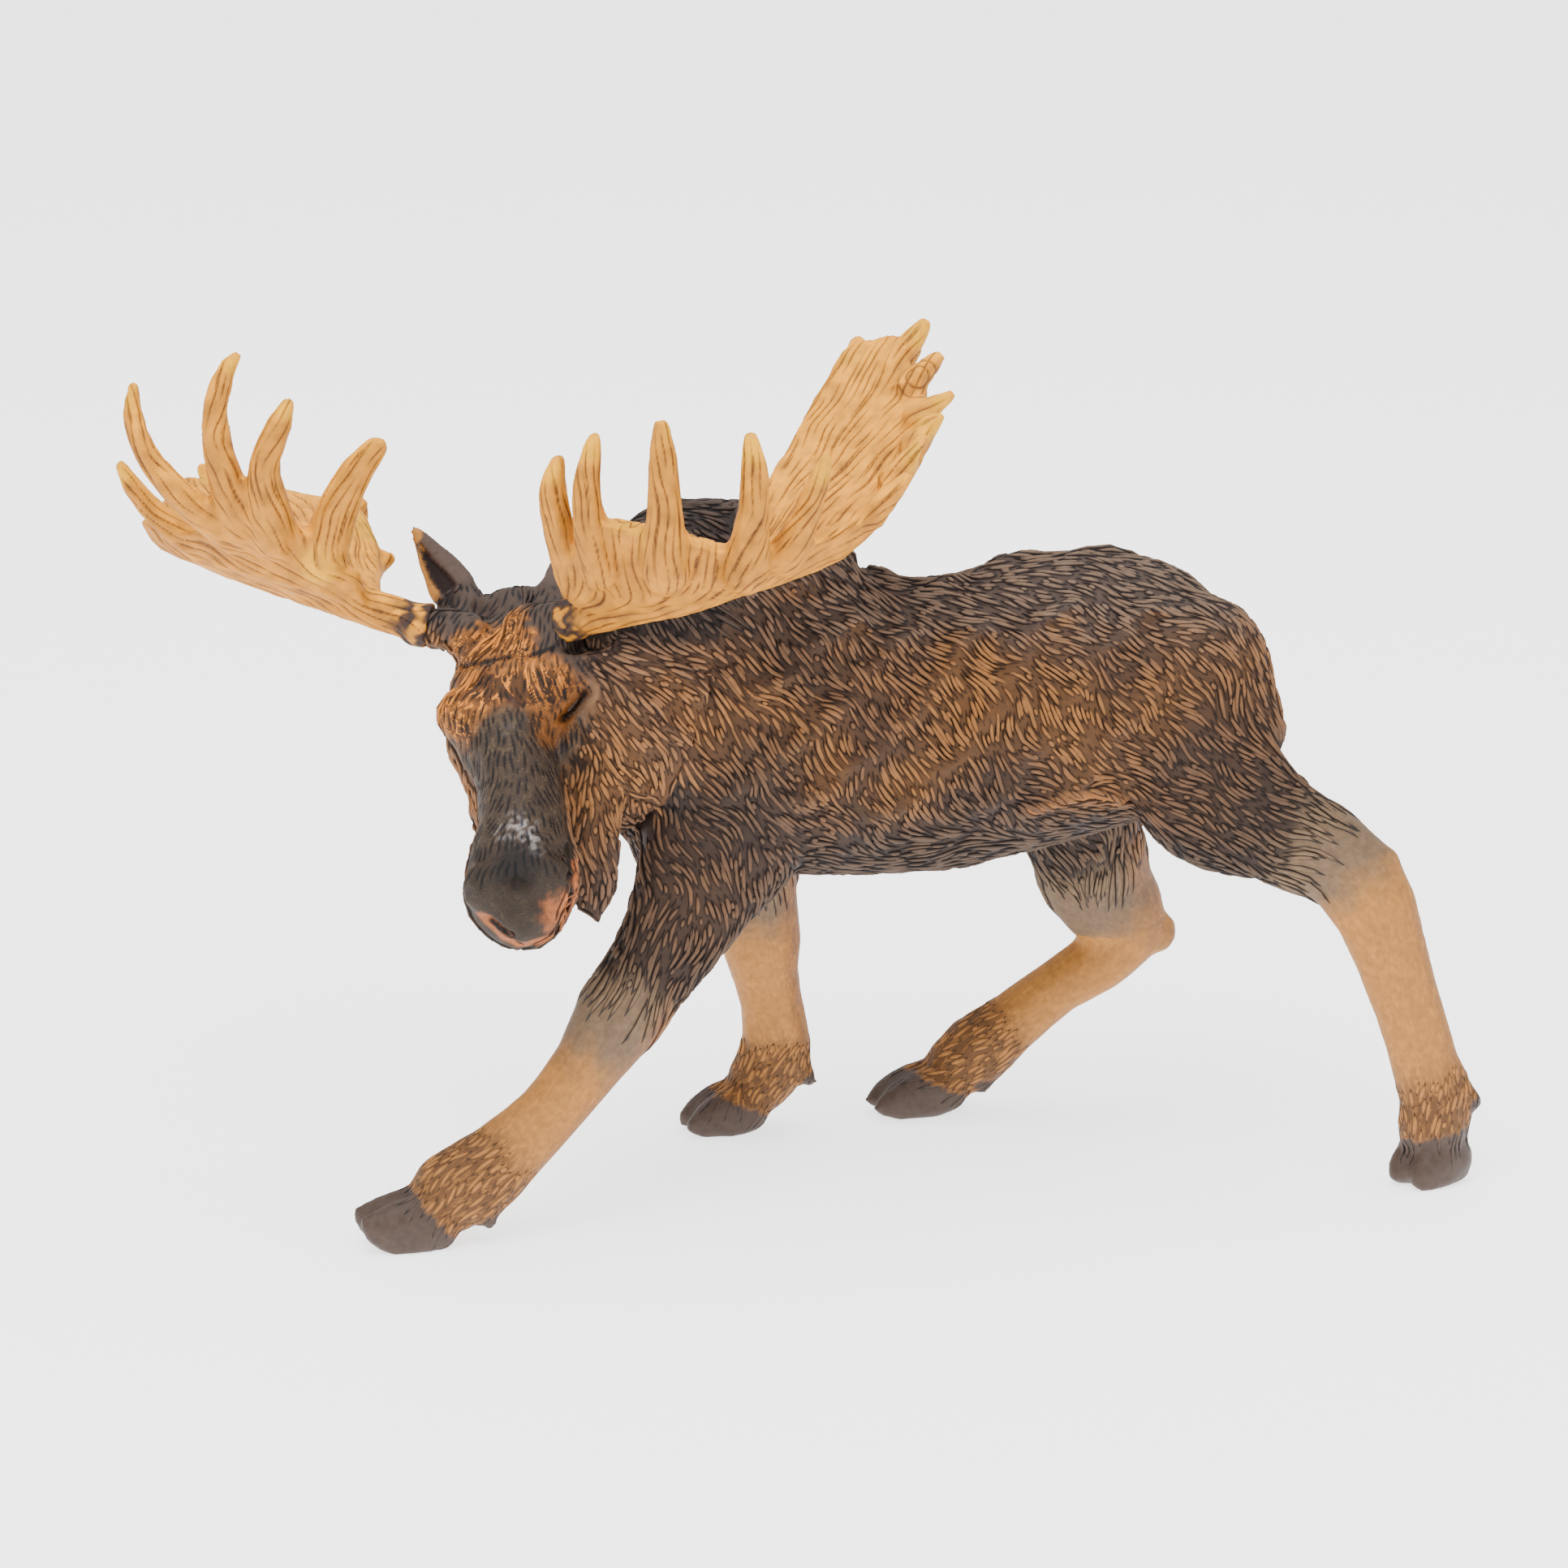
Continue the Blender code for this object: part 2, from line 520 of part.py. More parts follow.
def add_body_locks(shape):
    """Add locks of fur in rows over the trunk, haunch, chest and belly."""
    trunk = trunk_tube()
    for row, angle in enumerate((218.0, 202.0, 186.0, 170.0, 154.0)):
        for k in range(7):
            lock_on(shape, trunk, 2.2 + k * 1.05 + 0.5 * (row % 2), 0.75, angle, 13.0)
    for row, angle in enumerate((-22.0, 2.0, 26.0)):
        for k in range(5):
            lock_on(shape, trunk, 2.4 + k * 1.4 + 0.6 * (row % 2), 0.8, angle, -13.0)
    for k in range(6):
        lock_on(shape, trunk, 2.4 + k * 1.0, 0.7, 258.0 + 10.0 * (k % 3), 8.0)


def add_head_locks(shape):
    """Add the locks of the ruff on both sides of the neck."""
    neck = Tube(NECK, SIDE_Y, NECK_TAPER)
    for row, angle in enumerate((222.0, 202.0, 182.0, 162.0)):
        for k in range(3):
            lock_on(shape, neck, 2.6 - k * 0.75 - 0.3 * (row % 2), -0.6, angle, 18.0)
    for angle in (-30.0, -5.0, 20.0):
        for k in range(2):
            lock_on(shape, neck, 2.4 - k * 0.9, -0.6, angle, -18.0)


def figure_object(name, builders, voxel, smoothing, keep, material):
    """Fuse what the builders add into one skin with a given share of its faces."""
    shape = bmesh.new()
    for build in builders:
        build(shape)
    for vert in shape.verts:
        vert.co = (vert.co - ORIGIN) * MM
    mesh = bpy.data.meshes.new(name)
    shape.to_mesh(mesh)
    shape.free()
    mesh.materials.append(material)
    piece = bpy.data.objects.new(name, mesh)
    bpy.context.scene.collection.objects.link(piece)
    fuse = piece.modifiers.new("fuse", "REMESH")
    fuse.mode = "VOXEL"
    fuse.voxel_size = voxel * MM
    fuse.use_smooth_shade = True
    soften = piece.modifiers.new("soften", "SMOOTH")
    soften.factor = 0.5
    soften.iterations = smoothing
    thin = piece.modifiers.new("thin", "DECIMATE")
    thin.ratio = keep
    return piece


def placed(point):
    """Turn a point of the drawing frame into metres of the part's frame."""
    return (Vector(point) - ORIGIN) * MM


def turned_to(direction):
    """Give the rotation that takes +Z to a direction."""
    return direction.to_track_quat("Z", "Y").to_matrix().to_4x4()


def cutter_from(shape, name):
    """Keep a bmesh as a hidden cutter."""
    mesh = bpy.data.meshes.new(name)
    shape.to_mesh(mesh)
    shape.free()
    cutter = bpy.data.objects.new(name, mesh)
    bpy.context.scene.collection.objects.link(cutter)
    cutter.hide_render = True
    cutter.display_type = "WIRE"
    return cutter


def round_cutter(name, base, direction, radius, length, sides=24):
    """Make a cylinder from a base point along a direction."""
    shape = bmesh.new()
    middle = placed(base + direction * (length / 2))
    matrix = Matrix.Translation(middle) @ turned_to(direction)
    bmesh.ops.create_cone(shape, cap_ends=True, segments=sides, radius1=radius * MM, radius2=radius * MM,
                          depth=length * MM, matrix=matrix)
    return cutter_from(shape, name)


def front_block(name, gap):
    """Make the block ahead of the neck's seam and above the chin, drawn back by a gap."""
    normal = SEAM_NORMAL.normalized()
    along = Vector((0.0, 1.0, 0.0))
    up = normal.cross(along)
    start = SEAM_POINT + normal * gap
    shape = bmesh.new()
    corners = []
    floor = SEAM_LOWEST + gap
    for reach in (0.0, 45.0):
        base = start + normal * reach
        for level in (floor, 110.0):
            climb = (level - base.z) / up.z
            point = base + up * climb
            for side in (-60.0, 60.0):
                corners.append(shape.verts.new(placed(point + along * side)))
    bmesh.ops.convex_hull(shape, input=corners)
    return cutter_from(shape, name)


def floor_block():
    """Make the block below the floor, which gives the hooves flat soles."""
    shape = bmesh.new()
    bmesh.ops.create_cube(shape, size=1.0, matrix=Matrix.Translation(placed((-10.0, 0.0, -10.0)))
                          @ Matrix.Diagonal((0.2, 0.12, 0.02, 1.0)))
    return cutter_from(shape, "floor_block")


def cut(piece, cutter, operation="DIFFERENCE"):
    """Cut a piece with a hidden block, or join the two."""
    step = piece.modifiers.new(cutter.name, "BOOLEAN")
    step.operation = operation
    step.solver = "EXACT"
    step.object = cutter


def build_body():
    """The trunk and four legs, moulded as one piece."""
    builders = (add_trunk, add_legs, add_neck, add_body_locks)
    body = figure_object("body", builders, BODY_VOXEL, 3, 0.034, painted("brown_coat", BROWN_COAT))
    cut(body, front_block("head_space", 0.0))
    cut(body, floor_block())
    peg_way = -SEAM_NORMAL.normalized()
    socket_start = SEAM_POINT - peg_way
    cut(body, round_cutter("neck_socket", socket_start, peg_way, NECK_PEG_RADIUS + PIECE_GAP,
                           NECK_PEG_LENGTH + PIECE_GAP + 1.0))
    return body


def build_head():
    """The neck, head, ears and bell, moulded as one piece."""
    builders = (add_trunk, add_neck, add_head, add_ears, add_pedicles, add_head_locks)
    head = figure_object("head", builders, HEAD_VOXEL, 3, 0.022, painted("head_coat", HEAD_COAT))
    cut(head, front_block("head_block", PIECE_GAP), "INTERSECT")
    normal = SEAM_NORMAL.normalized()
    cut(head, round_cutter("neck_peg", SEAM_POINT + normal * 2.0, -normal, NECK_PEG_RADIUS,
                           NECK_PEG_LENGTH + 2.0 - PIECE_GAP), "UNION")
    for name, (root, end) in (("left", LEFT_PEDICLE), ("right", RIGHT_PEDICLE)):
        way = (end - root).normalized()
        cut(head, round_cutter(name + "_burr_space", end, way, 4.2, 5.0))
        cut(head, round_cutter(name + "_antler_socket", end + way, -way, ANTLER_PEG_RADIUS + PIECE_GAP,
                               ANTLER_PEG_LENGTH + PIECE_GAP + 1.0, 16))
    return head


def rooted(tine, palm):
    """Give a tine a thin root that runs down into the palm's trough."""
    base = Vector(tine[0][:3])
    troughs = [Vector(through([rib[1] for rib in palm], k / 4)) for k in range(4 * len(palm) - 3)]
    trough = min(troughs, key=lambda point: (point - base).length)
    root = base.lerp(trough, ROOT_REACH)
    middle = base.lerp(trough, ROOT_REACH * 0.45)
    return ((*root, PALM_THICKNESS * 0.4), (*middle, tine[0][3] * 0.7)) + tuple(tine)


def build_antler(side, pedicle, palm, beam, tines):
    """One palmate antler with its beam, palm, tines and a peg at its base."""
    root, end = pedicle
    way = (end - root).normalized()

    def add_antler(shape):
        start = end - way
        Tube([(*start, 2.4, 2.4)] + [(x, y, z, r, r) for x, y, z, r in beam]).add_to(shape)
        add_mass(shape, end + way * 0.9, (2.7, 2.7, 2.7))
        add_sheet(shape, palm, PALM_THICKNESS)
        for tine in tines:
            round_tube(rooted(tine, palm)).add_to(shape, sides=12)

    antler = figure_object("antler_" + side, (add_antler,), ANTLER_VOXEL, 3, 0.034,
                           painted("antler_tan_" + side, ANTLER_TAN))
    cut(antler, round_cutter(side + "_skull_space", end + way * PIECE_GAP, -way, 5.0, 6.0))
    cut(antler, round_cutter(side + "_antler_peg", end + way * 2.0, -way, ANTLER_PEG_RADIUS,
                             ANTLER_PEG_LENGTH + 2.0, 16), "UNION")
    return antler


def main():
    clear_scene()
    build_body()
    build_head()
    build_antler("left", LEFT_PEDICLE, LEFT_PALM, LEFT_BEAM, LEFT_TINES)
    build_antler("right", RIGHT_PEDICLE, RIGHT_PALM, RIGHT_BEAM, RIGHT_TINES)


main()
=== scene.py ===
"""The looks of a moulded plastic bull moose: carved fur, painted legs and face, grooved antlers."""

import math
from functools import partial
from types import SimpleNamespace

import bmesh
import bpy
import numpy as np
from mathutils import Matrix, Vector, noise
from mathutils.bvhtree import BVHTree
from mathutils.kdtree import KDTree


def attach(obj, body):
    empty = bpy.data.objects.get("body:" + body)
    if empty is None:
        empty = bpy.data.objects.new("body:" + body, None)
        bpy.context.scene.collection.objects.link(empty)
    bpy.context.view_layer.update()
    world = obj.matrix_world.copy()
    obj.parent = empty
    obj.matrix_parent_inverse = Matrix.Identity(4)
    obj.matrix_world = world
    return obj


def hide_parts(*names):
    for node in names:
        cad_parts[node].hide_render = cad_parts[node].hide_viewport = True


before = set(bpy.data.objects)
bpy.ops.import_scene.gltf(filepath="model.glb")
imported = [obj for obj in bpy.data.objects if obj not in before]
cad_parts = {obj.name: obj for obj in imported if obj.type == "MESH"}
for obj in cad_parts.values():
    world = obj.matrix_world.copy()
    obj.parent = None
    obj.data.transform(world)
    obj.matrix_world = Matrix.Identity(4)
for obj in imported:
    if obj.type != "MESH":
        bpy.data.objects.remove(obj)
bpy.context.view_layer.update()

MM = 0.001

# The photograph's camera, in its own pixels and in metres
PHOTO_SIZE = 1932
PHOTO_FOCAL = 7368.0
CAMERA_AZIMUTH = -16.0
CAMERA_ELEVATION = 14.0
CAMERA_DISTANCE = 0.7
CAMERA_AIM = Vector((-0.0006, -0.0056, 0.046))

# Where the trunk's plane of symmetry is, how fine the skins are in millimetres, and how many rounds
# of relaxing take their facets away
MIDDLE_Y = -9.6 * MM
BODY_GRAIN = 0.48
HEAD_GRAIN = 0.32
ANTLER_GRAIN = 0.25
BODY_ROUNDS = 14
FURRY_BODY_ROUNDS = 26
HEAD_ROUNDS = 12
FURRY_HEAD_ROUNDS = 10
ANTLER_ROUNDS = 12
# The rounds of averaging that find an antler's hollows, and those that round off a bell and a tine
HOLLOW_ROUNDS = 18
BELL_ROUNDS = 16
TINE_ROUNDS = 20

# The seam between neck and body: the way it faces, how far from the other skin its rims are pushed
# shut, by how much in millimetres, and the height under which the rims stay open
SEAM_WAY = np.array((-0.938, 0.0, 0.346))
SEAM_REACH = 1.4
SEAM_PUSH = 0.6
SEAM_OPEN_BELOW = 47.0
# How near the other skin the faces inside the seam stay without hair, in millimetres
SEAM_BARE = 1.6

# Legs from the sole upwards, in millimetres, with the heights along the leg, measured from the
# hoof's tip, where the hair over the hoof, the tan stretch and the grey band end, and the front
# and the back of the hoof's upper edge as places along X and Z
LEGS = {
    "fore_left": (
        ((-55.9, -25, 3.8), (-50.7, -25, 2.6), (-45.5, -25, 5.5), (-42.1, -25, 7.4), (-37.7, -24.9, 11),
        (-33.3, -24.6, 14.9), (-29.2, -24.1, 19.5), (-25.8, -23.6, 24.1), (-21.7, -22.4, 29),
        (-17.7, -21.1, 34.2), (-13.3, -19.1, 41), (-8.5, -17.1, 48.5)),
        (22, 33, 42), ((-51.2, 8.1), (-45.8, 1.3)),
    ),
    "fore_right": (
        ((-9, 7.9, 1.2), (-4.3, 7.9, 2.3), (-0.1, 7.9, 5.4), (2, 7.9, 8.6), (2, 7.4, 12.2),
        (1.3, 6.6, 16), (0.3, 5.6, 20), (-0.5, 4.4, 24), (-1.7, 2.6, 31), (-2.7, 0.6, 37.5)),
        (19, 34, 42), ((-6.2, 5.4), (-1.2, 3.1)),
    ),
    "hind_left": (
        ((69.9, -34.8, 0), (70.2, -34.6, 6.6), (70.5, -34.6, 10.3), (69.1, -34.6, 14.3),
        (67.7, -34.6, 18.8), (66, -34.2, 24), (64.2, -33.6, 29.5), (62.4, -32.6, 34.4),
        (58.9, -30.8, 38.8), (53, -27.6, 42), (47.1, -22.6, 46.2)),
        (16, 38, 46.5), ((64.8, 5.3), (72.8, 7)),
    ),
    "hind_right": (
        ((14.9, 8.4, 1.5), (20.7, 8.4, 2.6), (25.1, 8.4, 5.4), (28.1, 8, 7.6), (32.1, 7.4, 10.8),
        (37.7, 6.9, 14.9), (43.1, 6.4, 18.3), (45.7, 5.4, 22.8), (42.3, 4.4, 28), (39.3, 2.4, 35)),
        (22, 40, 50), ((17, 6.7), (24.2, 3.2)),
    ),
}
# The edge of the skin's fold in front of the near hind leg, in pixels, its half width and how far it
# stands out in millimetres
FLANK_FOLD = ((1268, 999), (1290, 993), (1315, 985), (1345, 982), (1380, 988))
FOLD_WIDTH = 0.85
FOLD_HEIGHT = 0.5
# The ends of the dewclaws
DEWCLAWS = ((-41.3, -27, 2.4), (-41.3, -23, 2.4), (6.1, 6, 5.8), (6.1, 9.8, 5.8), (74.9, -36.2, 9.6),
            (74.7, -32.2, 9.6), (28.1, 6.6, 3), (28.1, 10.4, 3))

# Hair arrows drawn on the photograph: start pixel, then the way the hair lies
BODY_ARROWS = (
    (1060, 740, 1, 0.25), (1200, 730, 1, 0.05), (1350, 700, 1, 0.15), (1480, 750, 1, 0.55),
    (1530, 850, 0.45, 1), (1100, 800, 1, 0.5), (1250, 800, 1, 0.35), (1400, 800, 1, 0.6),
    (1020, 850, 0.9, 0.75), (1120, 880, 0.6, 0.9), (1220, 880, 0.45, 1), (1320, 880, 0.5, 0.95),
    (1430, 900, 0.9, 0.7), (1500, 920, 0.8, 0.9), (1000, 950, 0.55, 1), (1100, 980, 0.35, 1),
    (1200, 970, 0.5, 0.9), (1290, 940, 0.8, 0.6), (1380, 960, 1, 0.5), (1480, 1020, 1, 0.45),
    (1560, 1040, 1, 0.5), (1620, 1060, 0.9, 0.5), (930, 820, 0.8, 0.7), (900, 900, 0.7, 0.8),
    (920, 980, 0.45, 1), (870, 1030, 0.75, 0.7), (830, 1060, 0.9, 0.5), (900, 1090, 0.2, 1),
    (840, 1130, -0.3, 1), (800, 1180, -0.5, 1), (1150, 1050, 1, 0.1), (1000, 1030, 0.9, 0.6),
    (880, 640, 0.8, 0.5), (820, 1010, 0.3, 0.9), (700, 1330, -0.7, 0.7), (600, 1440, -0.75, 0.6),
    (1720, 1200, 0.15, 1), (1765, 1340, 0, 1), (950, 1200, 0, 1), (960, 1320, -0.4, 0.9),
    (1300, 1210, -0.8, 0.5), (1180, 1310, -0.9, 0.4), (1400, 1080, 0.3, 1),
)
HEAD_ARROWS = (
    (780, 800, 0.9, 0.6), (850, 800, 1, 0.5), (760, 880, 0.7, 0.9), (830, 880, 0.9, 0.8),
    (740, 960, 0.1, 1), (790, 960, 0.6, 1), (720, 1020, 0.1, 1), (735, 1100, 0.1, 1),
    (630, 770, -0.4, 1), (590, 795, -0.8, 0.9), (660, 775, 0.05, 1), (580, 850, -0.3, 1),
    (630, 850, 0.3, 1), (670, 845, 0.5, 1), (560, 890, -0.1, 1),
    (635, 960, 0, 1), (600, 1040, -0.1, 1), (680, 1040, 0.1, 1), (700, 930, 0.3, 1),
    (845, 640, 0.9, 0.5),
)

# The face: pixels on its middle line, with how far its short-haired part reaches in millimetres
FACE_MARKS = (
    (632, 740, 6), (628, 790, 8), (624, 850, 8.6), (628, 890, 8.2), (634, 935, 6.4), (637, 985, 6),
    (638, 1035, 6.8), (641, 1080, 7.2), (646, 1125, 6.6),
)
# Lines on the head, in pixels
EYE_SLIT = ((720, 854), (715, 861), (708, 870), (701, 879), (694, 886))
TEAR_LINE = ((694, 886), (689, 902), (684, 918))
LOWER_LID = ((725, 862), (721, 874), (712, 884), (701, 894))
UPPER_LID = ((713, 847), (705, 856), (698, 867), (689, 879))
CREASE = ((544, 792), (554, 808), (568, 819), (584, 818), (603, 814), (624, 810), (655, 808), (668, 803),
          (684, 797))
NOSTRILS = (((606, 1134), (614, 1142), (622, 1148), (630, 1153)), ((694, 1130), (690, 1140), (684, 1150)))
MOUTH = ((700, 1040), (702, 1080), (704, 1100), (700, 1120))
LIP_LINE = ((708, 1065), (708, 1085), (706, 1108))
# The lines that are carved into the head: pixels, whether it is on the far side, half width and
# height in millimetres, and the half width of the dark paint in it
HEAD_LINES = (
    (CREASE, False, 0.35, -0.35, 0.25), (TEAR_LINE, False, 0.28, -0.3, 0), (LOWER_LID, False, 0.4, 0.3, 0),
    (UPPER_LID, False, 0.5, 0.4, 0), (EYE_SLIT, False, 0.55, -1.3, 0.5), (EYE_SLIT, True, 0.5, -1, 0.5),
    (MOUTH, False, 0.35, -0.6, 0.4), (LIP_LINE, False, 0.6, 0.2, 0), (NOSTRILS[0], False, 0.38, -0.7, 0.4),
    (NOSTRILS[1], False, 0.38, -0.7, 0.4),
)
MUZZLE_EDGE = ((598, 1130), (618, 1152), (640, 1162), (666, 1158), (684, 1146), (694, 1126), (698, 1108))

# The hollow of the ear towards the camera, from its tip down, with half its width in millimetres, its
# depth, and the pale rim along its outer side
EAR_HOLLOW = ((517, 672, 0.25), (527, 692, 0.7), (539, 709, 1.1), (551, 724, 1.15), (560, 737, 0.6))
EAR_DEPTH = 0.8
EAR_RIM_LINE = ((511, 662), (511, 684), (518, 705), (527, 726), (541, 750))

# Paint, fitted to the photograph under the lights below
COAT = (0.178, 0.08, 0.031)
RUST = (0.245, 0.10, 0.026)
SHADE = (0.088, 0.047, 0.027)
COAT_BACK = (0.145, 0.093, 0.062)
# Dark coat paint, also used as painted shade under the belly and under the throat
COAT_DARK_AND_SHADE = (0.065, 0.042, 0.029)
LEG_TAN = (0.37, 0.155, 0.032)
LEG_EDGE = (0.25, 0.095, 0.028)
LEG_GREY = (0.145, 0.092, 0.052)
HOOF_HAIR = (0.26, 0.108, 0.03)
HOOF_BROWN = (0.056, 0.036, 0.027)
ANTLER = (0.50, 0.195, 0.012)
ANTLER_WASH = (0.20, 0.07, 0.010)
ANTLER_PAINTED_LIGHT = (0.95, 0.38, 0.008)
ANTLER_TIP = (0.72, 0.34, 0.003)
ANTLER_BURR = (0.04, 0.022, 0.016)
FACE_GREY = (0.068, 0.044, 0.026)
BROW = (0.68, 0.225, 0.024)
FACE_SIDE = (0.20, 0.066, 0.010)
FACE_DARK = (0.015, 0.010, 0.008)
FACE_PALE_HIGHLIGHT = (0.42, 0.37, 0.31)
LIP = (0.50, 0.145, 0.034)
MUZZLE_DARK = (0.04216, 0.02728, 0.01612)
SLIT_DARK = (0.0075, 0.005, 0.004)
CROWN = (0.055, 0.036, 0.027)
EAR_DARK = (0.02, 0.010, 0.008)
EAR_SHADE = (0.075, 0.048, 0.038)
EAR_RIM = (0.36, 0.155, 0.03)

# Spots of paint on the body, on both sides: pixel, size in millimetres, colour and strength
BODY_SPOTS = (
    (1210, 850, 8, RUST, 0.8), (1320, 880, 6, RUST, 0.7),
    (1010, 950, 5, RUST, 0.7), (1110, 990, 5, RUST, 0.6),
    (880, 840, 5, SHADE, 0.4), (1430, 870, 5, RUST, 0.5),
    (1230, 990, 7, SHADE, 0.6), (960, 1040, 5, SHADE, 0.6), (850, 1030, 6, SHADE, 0.8),
    (1490, 980, 8, SHADE, 0.55), (1560, 1040, 6, SHADE, 0.5), (930, 1080, 5, SHADE, 0.5),
    # The dark spot at (835, 985), under the throat between the bell and the chest, is painted shadow
    (940, 960, 8, SHADE, 0.6), (1510, 900, 8, SHADE, 0.6), (835, 985, 3.5, COAT_DARK_AND_SHADE, 0.8),
    (930, 1000, 7, COAT_DARK_AND_SHADE, 0.5), (1180, 1015, 7, COAT_DARK_AND_SHADE, 0.4), (1080, 1025, 6, COAT_DARK_AND_SHADE, 0.4),
    (1000, 820, 5, SHADE, 0.4), (1330, 1020, 4, COAT_DARK_AND_SHADE, 0.6),
)
# Spots of paint on the face; the pale ones are pale dry-brushed paint and painted highlight
FACE_SPOTS = (
    (632, 764, 1.7, BROW, 0.85), (612, 788, 3, BROW, 0.9), (580, 806, 2.8, BROW, 0.85),
    (640, 796, 2.2, BROW, 0.9), (565, 850, 3.6, BROW, 0.8), (600, 848, 3.4, BROW, 0.9),
    (640, 845, 3.4, BROW, 0.9), (672, 845, 3.4, BROW, 0.9), (560, 885, 3.2, BROW, 0.75),
    (690, 862, 2.6, FACE_SIDE, 0.9), (682, 884, 2.8, FACE_SIDE, 0.85), (676, 905, 2, FACE_SIDE, 0.6),
    (596, 835, 1.4, FACE_DARK, 0.6), (630, 880, 2.4, FACE_GREY, 0.75), (610, 905, 3, FACE_GREY, 0.7),
    (640, 1020, 2.3, FACE_PALE_HIGHLIGHT, 0.75), (655, 1040, 1.6, FACE_PALE_HIGHLIGHT, 0.6), (622, 1025, 1.5, FACE_PALE_HIGHLIGHT, 0.5),
    (636, 1064, 2.6, FACE_DARK, 0.85), (625, 900, 1.2, FACE_PALE_HIGHLIGHT, 0.12), (688, 1122, 2.4, LIP, 0.7),
)

# Streaks that were drawn on the photograph along each antler's grooves, from its base outwards,
# and the middle of its base in millimetres
LEFT_STREAKS = (
    ((715, 765), (860, 745), (960, 700), (1060, 620), (1150, 520)),
    ((745, 735), (700, 650), (683, 572)), ((770, 740), (735, 640), (730, 542)),
    ((825, 720), (820, 620), (812, 522)), ((900, 690), (930, 640), (925, 545)),
    ((960, 670), (1000, 620), (1022, 570)), ((1020, 660), (1080, 600), (1120, 565)),
    ((930, 640), (1000, 520), (1060, 430)), ((960, 660), (1060, 540), (1140, 410)),
    ((1050, 600), (1110, 530), (1168, 490)), ((790, 720), (780, 690), (775, 660)),
    ((860, 730), (870, 690), (880, 660)),
)
RIGHT_STREAKS = (
    ((535, 768), (450, 735), (395, 700)), ((395, 700), (400, 640), (470, 548)),
    ((350, 680), (320, 580), (360, 492)), ((300, 650), (265, 540), (293, 438)),
    ((290, 660), (180, 560), (165, 478)), ((400, 720), (300, 690), (190, 630), (146, 572)),
    ((430, 700), (448, 650)), ((472, 705), (445, 640)), ((330, 670), (260, 600), (250, 585)),
)
ANTLERS = (
    ("left", LEFT_STREAKS, (-28.9, -15.2, 69.4)),
    ("right", RIGHT_STREAKS, (-42.7, -4.6, 67.2)),
)

# The middle of the skull between the antlers, in millimetres
BROW_MIDDLE = Vector((-35.8, -9.9, 68.3))
# The knot in the near antler's palm: its pixel, and its rings' radii and half width in millimetres
KNOT = (1131, 464)
KNOT_RINGS = (1.4, 2.6)
KNOT_LINE = 0.2
# How far round the ends of the tines and of the bell their forms are rounded, in millimetres
TINE_REACH = 3.4
BELL_TIP = (735, 1134)
BELL_REACH = 4.0

# Each ear's root and tip, that of the photograph's left first
EARS = (((-37.9, -3, 68.6), (-41.5, 7.5, 76.3)), ((-27.9, -7, 68.6), (-22.9, 3.4, 75.8)))
# How much lighter the paint of the head's coat is than that of the body's
HEAD_COAT_LIGHT = 1.25
# The way across the head, from its far side to its near one
HEAD_ACROSS = Vector((0.934, -0.316, 0.063)).normalized()
# How far the marks of the head's far side lie behind the mirrored ones, in millimetres
FAR_SIDE_BACK = 4.0


def smooth(low, high, values):
    """Rise smoothly from 0 to 1 between two limits."""
    t = np.clip((np.asarray(values, float) - low) / (high - low), 0.0, 1.0)
    return t * t * (3.0 - 2.0 * t)


def speckle(points, scale, seed=0.0):
    """Give smooth noise of about -1 to 1 at every point, of a scale in millimetres."""
    size = 1.0 / (scale * MM)
    shift = Vector((seed, seed * 1.7, -seed))
    return np.array([noise.noise(Vector(p) * size + shift) for p in points])


def unit(ways):
    """Give directions the length 1."""
    return ways / (np.linalg.norm(ways, axis=-1)[..., None] + 1e-12)


def camera_axes():
    """Give the photograph's camera as right, up and back directions."""
    a = math.radians(CAMERA_AZIMUTH)
    e = math.radians(CAMERA_ELEVATION)
    back = Vector((math.sin(a) * math.cos(e), -math.cos(a) * math.cos(e), math.sin(e)))
    right = Vector((math.cos(a), math.sin(a), 0.0))
    return right, back.cross(right), back


def sight(u, v):
    """Give the camera's place and the direction through a pixel of the photograph."""
    right, up, back = camera_axes()
    half = PHOTO_SIZE / 2
    way = right * ((u - half) / PHOTO_FOCAL) - up * ((v - half) / PHOTO_FOCAL) - back
    return CAMERA_AIM + back * CAMERA_DISTANCE, way.normalized()


def mirror(vector, middle=0.0):
    """Mirror a direction across the trunk, or a place across the trunk's middle plane."""
    return Vector((vector.x, 2 * middle - vector.y, vector.z))


def read_vectors(items, key):
    """Read one vector for each item of a mesh as an array."""
    values = np.empty(len(items) * 3, np.float32)
    items.foreach_get(key, values)
    return values.reshape(-1, 3).astype(float)


def search_tree(points, faces):
    """Build the tree that finds the nearest place on a surface."""
    return BVHTree.FromPolygons([Vector(p) for p in points], [tuple(face.vertices) for face in faces])


